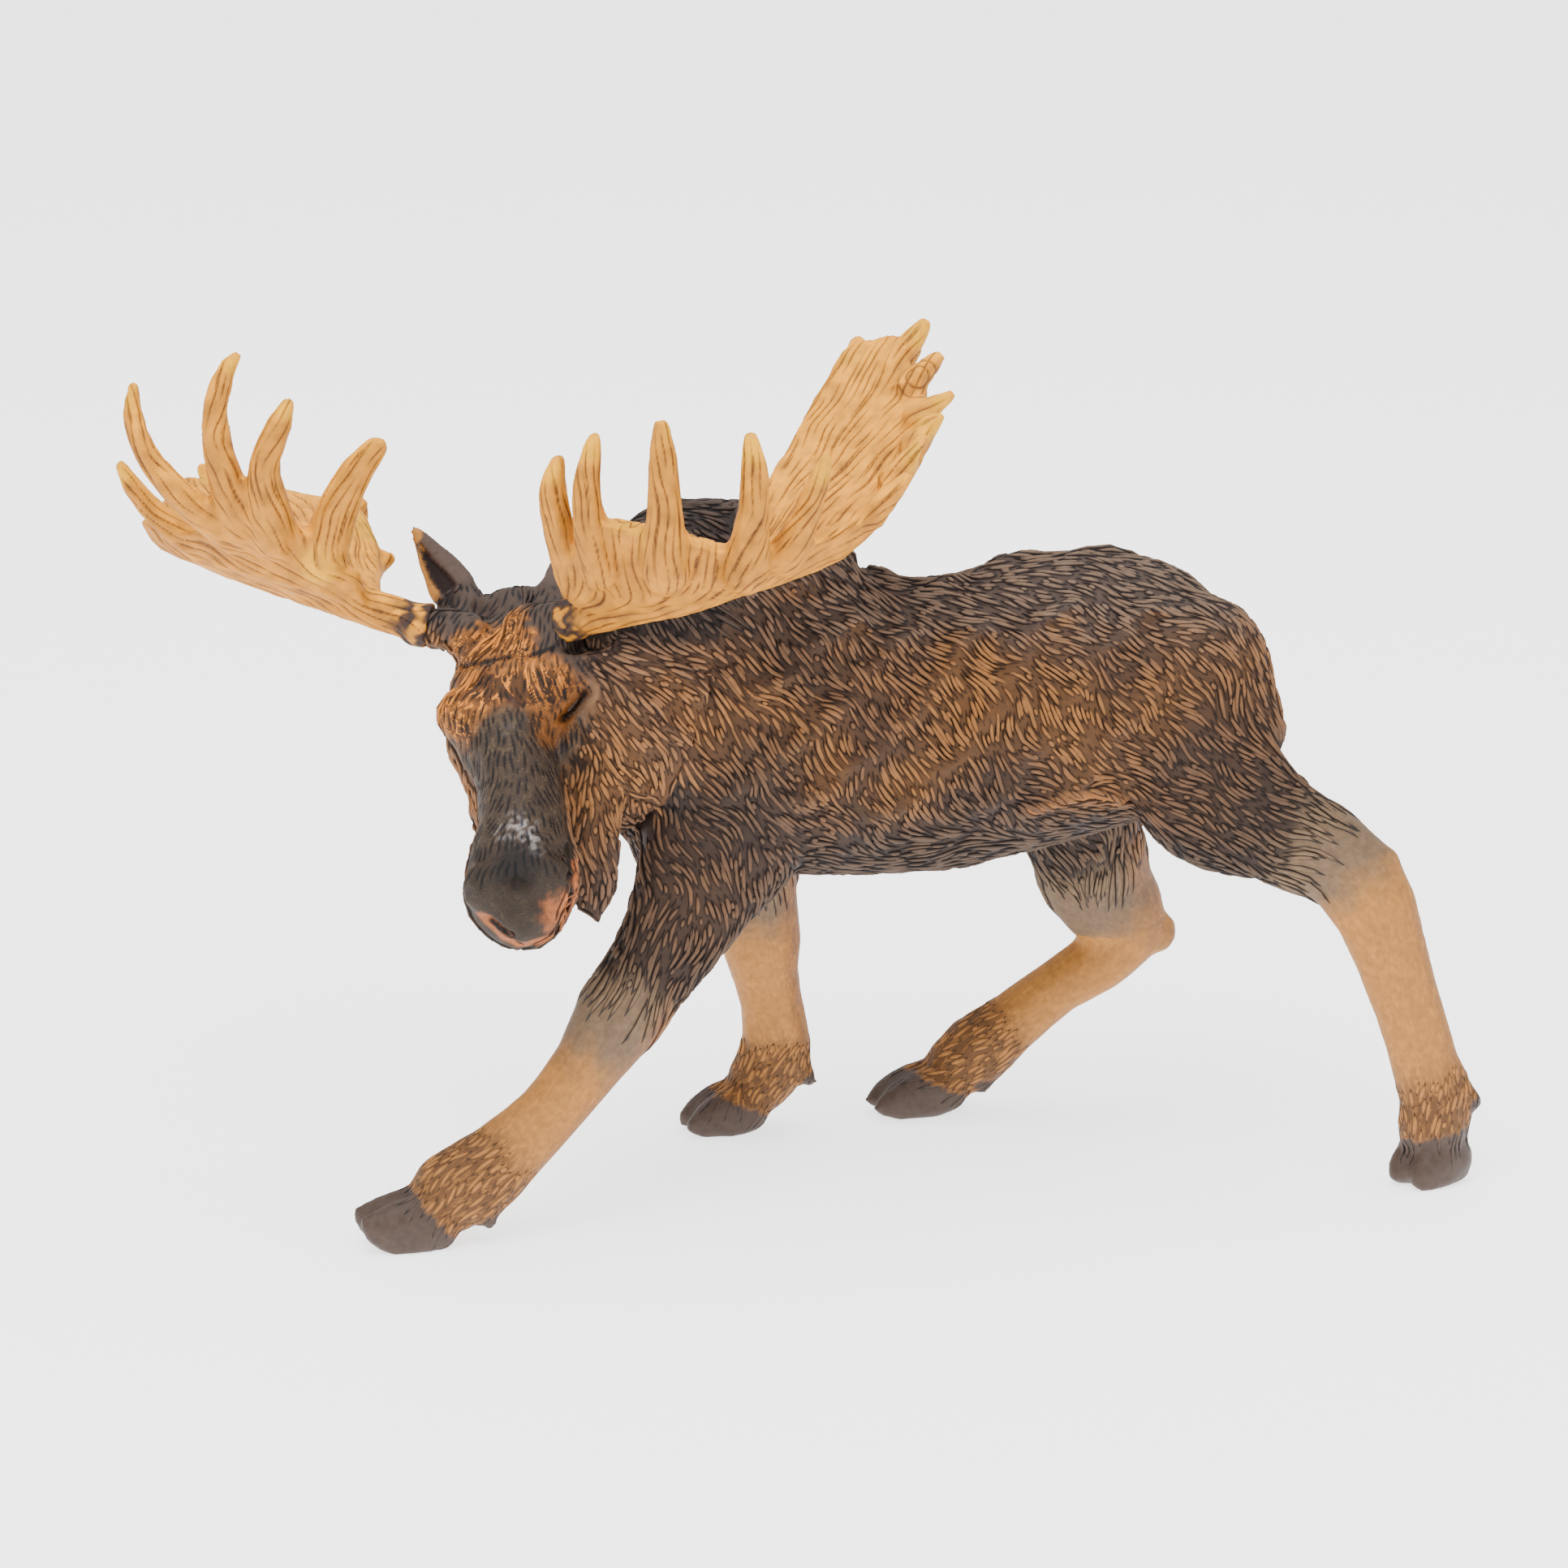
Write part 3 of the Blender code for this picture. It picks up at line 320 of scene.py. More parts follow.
class Skin:
    """A dense, even and relaxed copy of a CAD node's surface."""

    def __init__(self, node, grain, rounds):
        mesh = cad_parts[node].data.copy()
        shape = bmesh.new()
        shape.from_mesh(mesh)
        bmesh.ops.remove_doubles(shape, verts=shape.verts, dist=0.001 * MM)
        shape.to_mesh(mesh)
        shape.free()
        helper = bpy.data.objects.new("helper", mesh)
        bpy.context.scene.collection.objects.link(helper)
        fuse = helper.modifiers.new("fuse", "REMESH")
        fuse.mode = "VOXEL"
        fuse.voxel_size = grain * MM
        graph = bpy.context.evaluated_depsgraph_get()
        self.mesh = bpy.data.meshes.new_from_object(helper.evaluated_get(graph))
        bpy.data.objects.remove(helper)
        self.mesh.materials.clear()
        count = len(self.mesh.vertices)
        self.points = read_vectors(self.mesh.vertices, "co")
        ends = np.empty(len(self.mesh.edges) * 2, np.int32)
        self.mesh.edges.foreach_get("vertices", ends)
        self.edges = ends.reshape(-1, 2)
        self.degree = np.bincount(self.edges.ravel(), minlength=count).astype(float)[:, None]
        self.relax(rounds)

    def averaged(self, values):
        """Average each vertex's neighbours."""
        total = np.zeros_like(values)
        a, b = self.edges.T
        count = len(values)
        for k in range(values.shape[1]):
            total[:, k] = np.bincount(a, values[b, k], count) + np.bincount(b, values[a, k], count)
        return total / self.degree

    def relax(self, rounds, share=1.0):
        """Smooth the facets away without shrinking the form, wholly or by a share at each vertex."""
        for _ in range(rounds):
            self.points += 0.5 * share * (self.averaged(self.points) - self.points)
            self.points -= 0.52 * share * (self.averaged(self.points) - self.points)
        self.update()

    def round_off(self, share, rounds):
        """Round the form off, by a share at each vertex."""
        for _ in range(rounds):
            self.points += 0.5 * share[:, None] * (self.averaged(self.points) - self.points)
        self.update()

    def update(self):
        """Write the points to the mesh and find its normals and its search tree again."""
        self.points[:, 2] = np.maximum(self.points[:, 2], 0.0)
        self.mesh.vertices.foreach_set("co", self.points.astype(np.float32).ravel())
        self.mesh.update()
        self.normals = read_vectors(self.mesh.vertex_normals, "vector")
        self.tree = search_tree(self.points, self.mesh.polygons)

    def seen_at(self, u, v):
        """Give the point of the skin that the photograph shows at a pixel."""
        eye, way = sight(u, v)
        place, _, _, _ = self.tree.ray_cast(eye, way)
        if place is None:
            place, _, _, _ = self.tree.find_nearest(eye + way * CAMERA_DISTANCE)
        return place

    def move(self, amounts):
        """Move vertices along their normals by amounts in millimetres."""
        self.points += self.normals * (np.asarray(amounts)[:, None] * MM)

    def close_seam(self, other, way):
        """Push the rim beside another node towards it, so that no crack shows between the two skins."""
        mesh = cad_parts[other].data
        tree = search_tree([vert.co for vert in mesh.vertices], mesh.polygons)
        for i, point in enumerate(self.points):
            _, _, _, gap = tree.find_nearest(point, SEAM_REACH * MM)
            if gap is not None:
                above = point[2] / MM - SEAM_OPEN_BELOW
                shut = smooth(SEAM_REACH, 0.5, gap / MM) * smooth(0.0, 2.5, above)
                self.points[i] += way * (SEAM_PUSH * MM * float(shut))
        self.update()

    def hollows(self, rounds):
        """Give how far each vertex lies below its wider surroundings, in millimetres."""
        around = self.points
        for _ in range(rounds):
            around = self.averaged(around)
        return ((around - self.points) * self.normals).sum(1) / MM

    def show(self, name, material, look, crest, grain=None):
        """Make the object that is shown, with its paint kept in attributes."""
        self.update()
        self.mesh.name = name
        dress(self.mesh, look.tint, crest, look.rough, look.streaks, grain)
        self.mesh.shade_smooth()
        return add_piece(name, self.mesh, material)


def dress(mesh, tint, crest, rough, streaks=0.0, grain=None):
    """Store paint colour, crest height, roughness, the strength of streaks and their grain on vertices."""
    count = len(mesh.vertices)
    layer = mesh.color_attributes.new("tint", "FLOAT_COLOR", "POINT")
    rgba = np.ones((count, 4), np.float32)
    rgba[:, :3] = tint
    layer.data.foreach_set("color", rgba.ravel())
    for name, values in (("crest", crest), ("rough", rough), ("streaks", streaks)):
        store = mesh.attributes.new(name, "FLOAT", "POINT")
        store.data.foreach_set("value", np.broadcast_to(values, count).astype(np.float32))
    if grain is not None:
        store = mesh.attributes.new("grain", "FLOAT_VECTOR", "POINT")
        store.data.foreach_set("vector", grain.astype(np.float32).ravel())


def join_skins(skins):
    """Take several skins as one surface, so that hair lines can cross from one to the next."""
    joined = SimpleNamespace()
    joined.points = np.concatenate([skin.points for skin in skins])
    joined.normals = np.concatenate([skin.normals for skin in skins])
    faces = []
    first = 0
    for skin in skins:
        faces += [[first + corner for corner in face.vertices] for face in skin.mesh.polygons]
        first += len(skin.points)
    joined.tree = BVHTree.FromPolygons([Vector(p) for p in joined.points], faces)
    return joined


def add_piece(name, mesh, material):
    """Add an object that belongs to the figure."""
    piece = bpy.data.objects.new(name, mesh)
    bpy.context.scene.collection.objects.link(piece)
    mesh.materials.append(material)
    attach(piece, "root")
    return piece


class Flow:
    """The way the hair lies, blended between arrows that were drawn on the photograph."""

    def __init__(self, *sources, reach=7.0):
        places = []
        ways = []
        right, up, _ = camera_axes()
        for skin, arrows, mirrored in sources:
            for u, v, across, down in arrows:
                place = skin.seen_at(u, v)
                way = (right * across - up * down).normalized()
                places.append(place)
                ways.append(way)
                if mirrored:
                    places.append(mirror(place, MIDDLE_Y))
                    ways.append(mirror(way))
        self.places = np.array(places)
        self.ways = np.array(ways)
        self.reach = reach * MM

    def at(self, points, normals, wave=0.0, scale=6.0):
        """Give unit directions along the surface, which swing to and fro by a wave in degrees."""
        gap = np.linalg.norm(points[:, None, :] - self.places[None, :, :], axis=2)
        weight = 1.0 / (gap ** 2 + (0.25 * self.reach) ** 2) ** 1.5
        way = (weight[:, :, None] * self.ways[None, :, :]).sum(1)
        way -= normals * (way * normals).sum(1)[:, None]
        way = unit(way)
        if wave:
            turn = np.radians(wave) * 2.0 * speckle(points, scale, 3.0)
            side = np.cross(normals, way)
            way = way * np.cos(turn)[:, None] + side * np.sin(turn)[:, None]
        return way


def trace(skin, flow, starts, lengths, steps, wave, scale):
    """Follow the flow over the skin from many vertices at once."""
    spots = skin.points[starts]
    normals = skin.normals[starts]
    path = [spots]
    facing = [normals]
    for _ in range(steps):
        way = flow.at(spots, normals, wave, scale)
        ahead = spots + way * (lengths[:, None] * MM / steps)
        found = [skin.tree.find_nearest(p) for p in ahead]
        spots = np.array([hit[0] for hit in found])
        fresh = np.array([hit[1] for hit in found])
        normals = unit(0.5 * normals + 0.5 * fresh)
        path.append(spots)
        facing.append(normals)
    return np.stack(path, 1), np.stack(facing, 1)


class Taken:
    """A grid of the points that lines already cover, with the way each line runs there."""

    def __init__(self, gap, ahead):
        self.cell = gap * MM
        self.gap = (gap * MM) ** 2
        self.ahead = ahead * MM
        self.grid = {}

    def key(self, point):
        return tuple(int(c) for c in np.floor(point / self.cell))

    def is_free(self, point):
        """Say whether the point lies beside no stored line, closer than the gap."""
        i, j, k = self.key(point)
        x, y, z = point
        for a in (i - 1, i, i + 1):
            for b in (j - 1, j, j + 1):
                for c in (k - 1, k, k + 1):
                    for qx, qy, qz, wx, wy, wz in self.grid.get((a, b, c), ()):
                        dx, dy, dz = x - qx, y - qy, z - qz
                        if dx * dx + dy * dy + dz * dz < self.gap:
                            if abs(dx * wx + dy * wy + dz * wz) < self.ahead:
                                return False
        return True

    def add(self, points):
        ways = unit(np.gradient(points, axis=0))
        for point, way in zip(points, ways):
            self.grid.setdefault(self.key(point), []).append((*point, *way))


# How many times the shortest length the first lines have at least, and how many lines start at once
LONG_FIRST = 2.2
BATCH = 2500


def spread_lines(skin, flow, wanted, style):
    """Cover the wanted vertices with lines that keep a gap between them and stop short of each other.
    The first lines have to be long, and shorter ones fill in between them. Each line comes with its
    points and the directions in which the skin faces there."""
    order = np.flatnonzero(wanted)
    dice = np.random.default_rng(style.seed)
    dice.shuffle(order)
    order = order[:style.tries]
    taken = Taken(style.gap, style.ahead)
    lines = []
    for least in (LONG_FIRST * style.shortest, style.shortest):
        for first in range(0, len(order), BATCH):
            starts = [i for i in order[first:first + BATCH] if taken.is_free(skin.points[i])]
            if not starts:
                continue
            lengths = style.length * dice.uniform(0.6, 1.4, len(starts))
            steps = style.steps
            path, facing = trace(skin, flow, starts, lengths, steps, style.wave, style.scale)
            for k in range(len(starts)):
                reach = 0
                while reach <= steps and taken.is_free(path[k, reach]):
                    reach += 1
                if reach >= 3 and (reach - 1) * lengths[k] / steps >= least:
                    taken.add(path[k, :reach])
                    lines.append((path[k, :reach], facing[k, :reach]))
    return lines


def spaced(values, count):
    """Read a line's values at even steps from its first point to its last."""
    wanted = np.linspace(0.0, len(values) - 1.0, count)
    have = np.arange(len(values))
    return np.stack([np.interp(wanted, have, values[:, axis]) for axis in range(3)], 1)


def resample(lines, rings):
    """Give every line the same number of points."""
    paths = np.array([spaced(path, rings) for path, _ in lines])
    facing = np.array([spaced(normals, rings) for _, normals in lines])
    return paths, facing / np.linalg.norm(facing, axis=2)[:, :, None]


def ridge_mesh(name, path, facing, width, height):
    """Build one closed ridge along every path, broad on top and pointed at both ends, in one mesh."""
    count, rings, _ = path.shape
    share = np.linspace(0.0, 1.0, rings)
    swell = np.sin(math.pi * (0.02 + 0.96 * share)) ** 0.7
    side = unit(np.cross(facing, np.gradient(path, axis=1)))
    wide = side * (width[:, None] * swell[None, :] * MM)[:, :, None]
    tall = facing * (height[:, None] * swell[None, :] * MM)[:, :, None]
    low = facing * (RIDGE_SINK * MM)
    corners = np.stack((path - wide - low, path - wide * 0.45 + tall, path + wide * 0.45 + tall,
                        path + wide - low), 2)
    corners[..., 2] = np.maximum(corners[..., 2], 0.0)
    base = (np.arange(count) * rings * 4)[:, None, None]
    ring = (np.arange(rings - 1) * 4)[None, :, None]
    k = np.arange(4)[None, None, :]
    after = (k + 1) % 4
    quads = np.stack((ring + k, ring + 4 + k, ring + 4 + after, ring + after), 3)
    quads = (base[..., None] + quads).reshape(-1, 4)
    first = base[:, 0, 0][:, None] + np.array([[0, 1, 2, 3]])
    last = base[:, 0, 0][:, None] + (rings - 1) * 4 + np.array([[3, 2, 1, 0]])
    faces = np.concatenate((quads, first, last))
    mesh = bpy.data.meshes.new(name)
    mesh.from_pydata(corners.reshape(-1, 3), [], faces.tolist())
    mesh.validate()
    mesh.shade_smooth()
    crest = np.tile(np.outer(swell, (0.0, 1.0, 1.0, 0.0)).ravel(), count)
    return mesh, corners.reshape(-1, 3), crest


# How much streaks are drawn out along a leg, as a share of their own scale
STREAK_STRETCH = 0.22


def legs_of(points):
    """Find each point's place on its nearest leg, in millimetres: how far up it is, how far from the
    leg's middle line, how far above the hoof's edge, that leg's heights and its grain."""
    count = len(points)
    found = SimpleNamespace(gap=np.full(count, 1e9), up=np.zeros(count), rise=np.zeros(count),
                            marks=np.zeros((count, 3)), grain=np.zeros((count, 3)))
    for line, heights, (front, rear) in LEGS.values():
        slope = np.array((front[1] - rear[1], 0.0, rear[0] - front[0]))
        slope /= np.linalg.norm(slope)
        rise = (points / MM - np.array((front[0], 0.0, front[1]))) @ slope
        climbed = 0.0
        for start, end in zip(line[:-1], line[1:]):
            a = np.array(start)
            way = np.array(end) - a
            size = np.linalg.norm(way)
            t = np.clip(((points / MM - a) @ way) / size ** 2, 0.0, 1.0)
            aside = points / MM - a - t[:, None] * way
            gap = np.linalg.norm(aside, axis=1)
            up = climbed + t * size
            near = gap < found.gap
            found.gap[near] = gap[near]
            found.up[near] = up[near]
            found.rise[near] = rise[near]
            found.marks[near] = heights
            found.grain[near] = (aside + up[:, None] * way / size * STREAK_STRETCH)[near]
            climbed += size
    return found


def blend(tint, colour, amount):
    """Brush a colour over some paint by an amount from 0 to 1 at each point."""
    return tint * (1.0 - amount[:, None]) + np.array(colour) * amount[:, None]


def brush(tint, *layers):
    """Brush layers over some paint, one after another: each is a colour and its amount."""
    for colour, amount in layers:
        tint = blend(tint, colour, amount)
    return tint


def coat_paint(points, normals):
    """Give the coat's paint, which body and neck share, at each point."""
    patch = speckle(points, 8.0, 1.0)
    fine = speckle(points, 2.2, 5.0)
    height = points[:, 2] / MM
    top = smooth(0.0, 0.7, normals[:, 2] + 0.1 * patch) * smooth(59.0, 70.0, height + 3.0 * fine)
    return brush(
        np.tile(COAT, (len(points), 1)),
        (RUST, 0.5 * smooth(-0.1, 0.5, patch + 0.5 * fine)),
        (SHADE, 0.5 * smooth(0.0, -0.5, patch + 0.5 * fine)),
        (SHADE, 0.8 * smooth(54.0, 42.0, height + 3.0 * patch)),
        (COAT_BACK, top),
    )


def body_paint(spots, fold, points, normals):
    """Give the body's paint, how furry it is, the hair over the hooves, roughness and streaks."""
    legs = legs_of(points)
    fringe, tan, grey = legs.marks.T
    fine = speckle(points, 2.2, 5.0)
    ragged = speckle(points, 0.8, 2.0)
    tint = coat_paint(points, normals)
    for spot, size, colour, power in spots:
        away = dist(points, spot) + 0.2 * size * fine
        tint = blend(tint, colour, power * smooth(size * 1.2, size * 0.4, away))
    edge, _ = along(points, fold)
    edge = edge / FOLD_WIDTH + 0.2 * fine
    # Faces that look down, low on the body, are painted dark: painted shade under the belly
    under = smooth(-0.1, -0.6, normals[:, 2]) * smooth(48.0, 40.0, points[:, 2] / MM)
    on_leg = 1.0 - smooth(8.0, 13.0, legs.gap)
    up = legs.up
    leg = on_leg * smooth(grey + 4.0, grey - 1.0, up + fine)
    rear = smooth(0.2, 0.75, normals[:, 0]) * smooth(0.6, -0.2, normals[:, 2])
    hair = on_leg * smooth(fringe + 1.0, fringe - 5.0, up + fine)
    horn = on_leg * smooth(0.15, -0.15, legs.rise + 0.45 * ragged) * smooth(20.0, 12.0, up)
    for claw in DEWCLAWS:
        horn = np.maximum(horn, smooth(1.7, 1.3, dist(points, np.array(claw) * MM) + 0.3 * ragged))
    tint = brush(
        tint,
        (COAT_DARK_AND_SHADE, 0.85 * under),
        (LEG_EDGE, 0.9 * smooth(1.0, 0.4, edge)),
        (COAT_DARK_AND_SHADE, on_leg * smooth(grey + 14.0, grey + 4.0, up) * 0.55),
        (LEG_GREY, leg),
        (LEG_TAN, leg * smooth(tan + 3.5, tan - 3.5, up + 1.5 * fine)),
        (LEG_EDGE, 0.75 * leg * rear),
        (HOOF_HAIR, 0.7 * hair),
        (HOOF_BROWN, horn),
    )
    hair = hair * (1.0 - horn)
    furry = 1.0 - on_leg * smooth(grey + 2.5, grey - 2.0, up + 1.2 * fine)
    furry *= smooth(0.8, 1.5, edge)
    rough = 0.62 - 0.12 * leg - 0.12 * horn
    streaks = leg * (1.0 - horn) * (0.12 + 0.4 * np.maximum(hair, 0.6 * rear))
    return SimpleNamespace(tint=tint, furry=furry, hair=hair, rough=rough, streaks=streaks,
                           grain=legs.grain)


def principled(name, roughness):
    """Start a material, and give its shader, a function that adds nodes and one that links them."""
    material = bpy.data.materials.new(name)
    material.use_nodes = True
    tree = material.node_tree
    shader = tree.nodes["Principled BSDF"]
    shader.inputs["Roughness"].default_value = roughness
    shader.inputs["Specular IOR Level"].default_value = 0.22

    def add(kind, inputs=None, **settings):
        node = tree.nodes.new(kind)
        for key, value in settings.items():
            setattr(node, key, value)
        for key, value in (inputs or {}).items():
            node.inputs[key].default_value = value
        return node

    def link(*wires):
        for source, output, target, socket in wires:
            tree.links.new(source.outputs[output], target.inputs[socket])

    return material, shader, add, link


# The size of painted streaks across their grain in millimetres, and how they darken the paint
STREAK_SIZE = 0.6
STREAK_COLOUR = (0.1, 0.12, 0.34)


def painted_plastic(name, groove, grain, depth, low=0.45, high=0.9):
    """Painted plastic whose grooves hold a dark wash: groove is how dark that wash is."""
    material, shader, add, link = principled(name, 0.6)
    tint, crest, rough, streaks, way = (
        add("ShaderNodeAttribute", attribute_name=key)
        for key in ("tint", "crest", "rough", "streaks", "grain")
    )
    place = add("ShaderNodeTexCoord")
    ramp = add("ShaderNodeMapRange", {"From Min": low, "From Max": high}, interpolation_type="SMOOTHSTEP")
    mottle = add("ShaderNodeTexNoise", {"Scale": 1.0 / (grain * MM), "Detail": 4.0})
    spread = add("ShaderNodeMapRange", {"From Min": 0.3, "From Max": 0.7, "To Min": 0.8, "To Max": 1.16})
    dull = add("ShaderNodeMath", {1: 0.25}, operation="MULTIPLY_ADD")
    wash = add("ShaderNodeMix", {0: 1.0, 7: (*groove, 1.0)}, data_type="RGBA", blend_type="MULTIPLY")
    mix = add("ShaderNodeMix", data_type="RGBA")
    vary = add("ShaderNodeVectorMath", operation="SCALE")
    bump = add("ShaderNodeBump", {"Strength": depth, "Distance": 0.1 * MM})
    lines = add("ShaderNodeTexNoise", {"Scale": 1.0 / STREAK_SIZE, "Detail": 3.0, "Distortion": 0.4})
    sharp = add("ShaderNodeMapRange", {"From Min": 0.41, "From Max": 0.48}, interpolation_type="SMOOTHSTEP")
    drawn = add("ShaderNodeMath", operation="MULTIPLY")
    dark = add("ShaderNodeMix", {7: (*STREAK_COLOUR, 1.0)}, data_type="RGBA", blend_type="MULTIPLY")
    raised = add("ShaderNodeMath", operation="SUBTRACT")
    link(
        (way, "Vector", lines, "Vector"), (lines, "Fac", sharp, "Value"), (sharp, "Result", drawn, 0),
        (streaks, "Fac", drawn, 1), (drawn, 0, dark, 0), (place, "Object", mottle, "Vector"),
        (mottle, "Fac", spread, "Value"), (tint, "Color", wash, 6), (crest, "Fac", ramp, "Value"),
        (ramp, "Result", mix, 0), (wash, 2, mix, 6), (tint, "Color", mix, 7), (mix, 2, dark, 6),
        (dark, 2, vary, 0), (spread, "Result", vary, "Scale"), (vary, "Vector", shader, "Base Color"),
        (mottle, "Fac", dull, 0), (rough, "Fac", dull, 2), (dull, 0, shader, "Roughness"),
        (mottle, "Fac", raised, 0), (drawn, 0, raised, 1), (raised, 0, bump, "Height"),
        (bump, "Normal", shader, "Normal"),
    )
    return material


# The eye's dark and brown, with their places on a ramp, and its half length, width and height and how
# deep its middle lies in millimetres
EYE_COLOURS = ((0.35, (0.006, 0.004, 0.003)), (0.75, (0.035, 0.018, 0.01)))
EYE_SIZE = (1.35, 0.6, 0.5)
EYE_DEPTH = 0.4


def glossy_eye():
    """A wet black eye, mottled with dark brown."""
    material, shader, add, link = principled("glossy_eye", 0.12)
    place = add("ShaderNodeTexCoord")
    cloud = add("ShaderNodeTexNoise", {"Scale": 1.0 / (0.6 * MM)})
    ramp = add("ShaderNodeValToRGB")
    for stop, (position, colour) in zip(ramp.color_ramp.elements, EYE_COLOURS):
        stop.position = position
        stop.color = (*colour, 1.0)
    link((place, "Object", cloud, "Vector"), (cloud, "Fac", ramp, "Fac"))
    link((ramp, "Color", shader, "Base Color"))
    shader.inputs["Coat Weight"].default_value = 0.15
    shader.inputs["Coat Roughness"].default_value = 0.2
    return material


def add_coat(name, lines, style, seed, painter, material):
    """Add carved ridges of hair along lines."""
    dice = np.random.default_rng(seed)
    path, facing = resample(lines, style.rings)
    widths = style.width * dice.uniform(0.75, 1.25, len(lines))
    heights = style.height * dice.uniform(0.7, 1.25, len(lines))
    mesh, corners, crest = ridge_mesh(name, path, facing, widths, heights)
    look = painter(corners, np.repeat(facing.reshape(-1, 3), 4, axis=0))
    dress(mesh, look.tint, crest, look.rough)
    return add_piece(name, mesh, material)


# The step between the points that grooves are carved around, in millimetres
CARVE_STEP = 0.12
# Where on a half wave a groove's depth starts and ends, in radians
GROOVE_END = 0.12


def carve(skin, lines, width):
    """Give how deep each vertex lies in grooves along the lines, from 0 to 1."""
    spots = []
    power = []
    for path, _ in lines:
        size = np.linalg.norm(np.diff(path, axis=0), axis=1).sum() / MM
        count = max(int(size / CARVE_STEP), 2)
        spots.append(spaced(path, count))
        power.append(np.sin(np.linspace(GROOVE_END, math.pi - GROOVE_END, count)) ** 0.5)
    spots = np.concatenate(spots)
    power = np.concatenate(power)
    search = KDTree(len(spots))
    for k, spot in enumerate(spots):
        search.insert(spot, k)
    search.balance()
    depth = np.zeros(len(skin.points))
    for i, point in enumerate(skin.points):
        _, k, gap = search.find(point)
        depth[i] = power[k] * max(0.0, 1.0 - gap / (width * MM))
    return depth


class Face:
    """Where the features of the head lie, found from the photograph's pixels."""

    def __init__(self, skin):
        self.skin = skin
        self.line = [skin.seen_at(u, v) for u, v, _ in FACE_MARKS]
        self.reach = np.array([reach for _, _, reach in FACE_MARKS])
        self.down = (self.line[-2] - self.line[1]).normalized()

    def marks(self, pixels, far=False):
        """Give the places of some pixels on the skin, or the same places on the head's far side."""
        places = [self.skin.seen_at(mark[0], mark[1]) for mark in pixels]
        if far:
            behind = camera_axes()[2] * (-FAR_SIDE_BACK * MM)
            for k, place in enumerate(places):
                away = (place - self.line[2]).dot(HEAD_ACROSS)
                across = HEAD_ACROSS * (2.0 * away)
                places[k] = self.skin.tree.find_nearest(place - across + behind)[0]
        return places


def along(points, spots):
    """Give each point's distance to a line through some spots, in millimetres, and its place on it."""
    best = np.full(len(points), 1e9)
    place = np.zeros(len(points))
    for k, (start, end) in enumerate(zip(spots[:-1], spots[1:])):
        a = np.array(start)
        way = np.array(end) - a
        t = np.clip(((points - a) @ way) / (way @ way + 1e-15), 0.0, 1.0)
        gap = np.linalg.norm(points - (a + t[:, None] * way), axis=1) / MM
        near = gap < best
        best[near] = gap[near]
        place[near] = k + t[near]
    return best, place


def dist(points, spot):
    """Give each point's distance to one spot, in millimetres."""
    return np.linalg.norm(points - np.array(spot), axis=1) / MM


def ear_parts(face, points, normals):
    """Say how much each point belongs to an ear, to its hollow and to its pale rim."""
    ear = np.zeros(len(points))
    hollow = np.zeros(len(points))
    rim = np.zeros(len(points))
    half = np.array([mark[2] for mark in EAR_HOLLOW])
    for far, (root, tip) in zip((False, True), EARS):
        middle = face.marks(EAR_HOLLOW, far)
        edge = face.marks(EAR_RIM_LINE, far)
        gap, place = along(points, (Vector(root) * MM, Vector(tip) * MM))
        ear = np.maximum(ear, smooth(5.0, 4.2, gap) * smooth(0.16, 0.26, place))
        gap, place = along(points, middle)
        facing = np.array(face.skin.tree.find_nearest(middle[2])[1])
        seen = smooth(-0.1, 0.3, normals @ facing)
        aside = gap / np.interp(place, np.arange(len(half)), half)
        hollow = np.maximum(hollow, seen * smooth(1.2, 0.7, aside))
        gap, _ = along(points, edge)
        rim = np.maximum(rim, smooth(1.15, 0.8, gap))
    return ear, hollow * ear, rim * ear


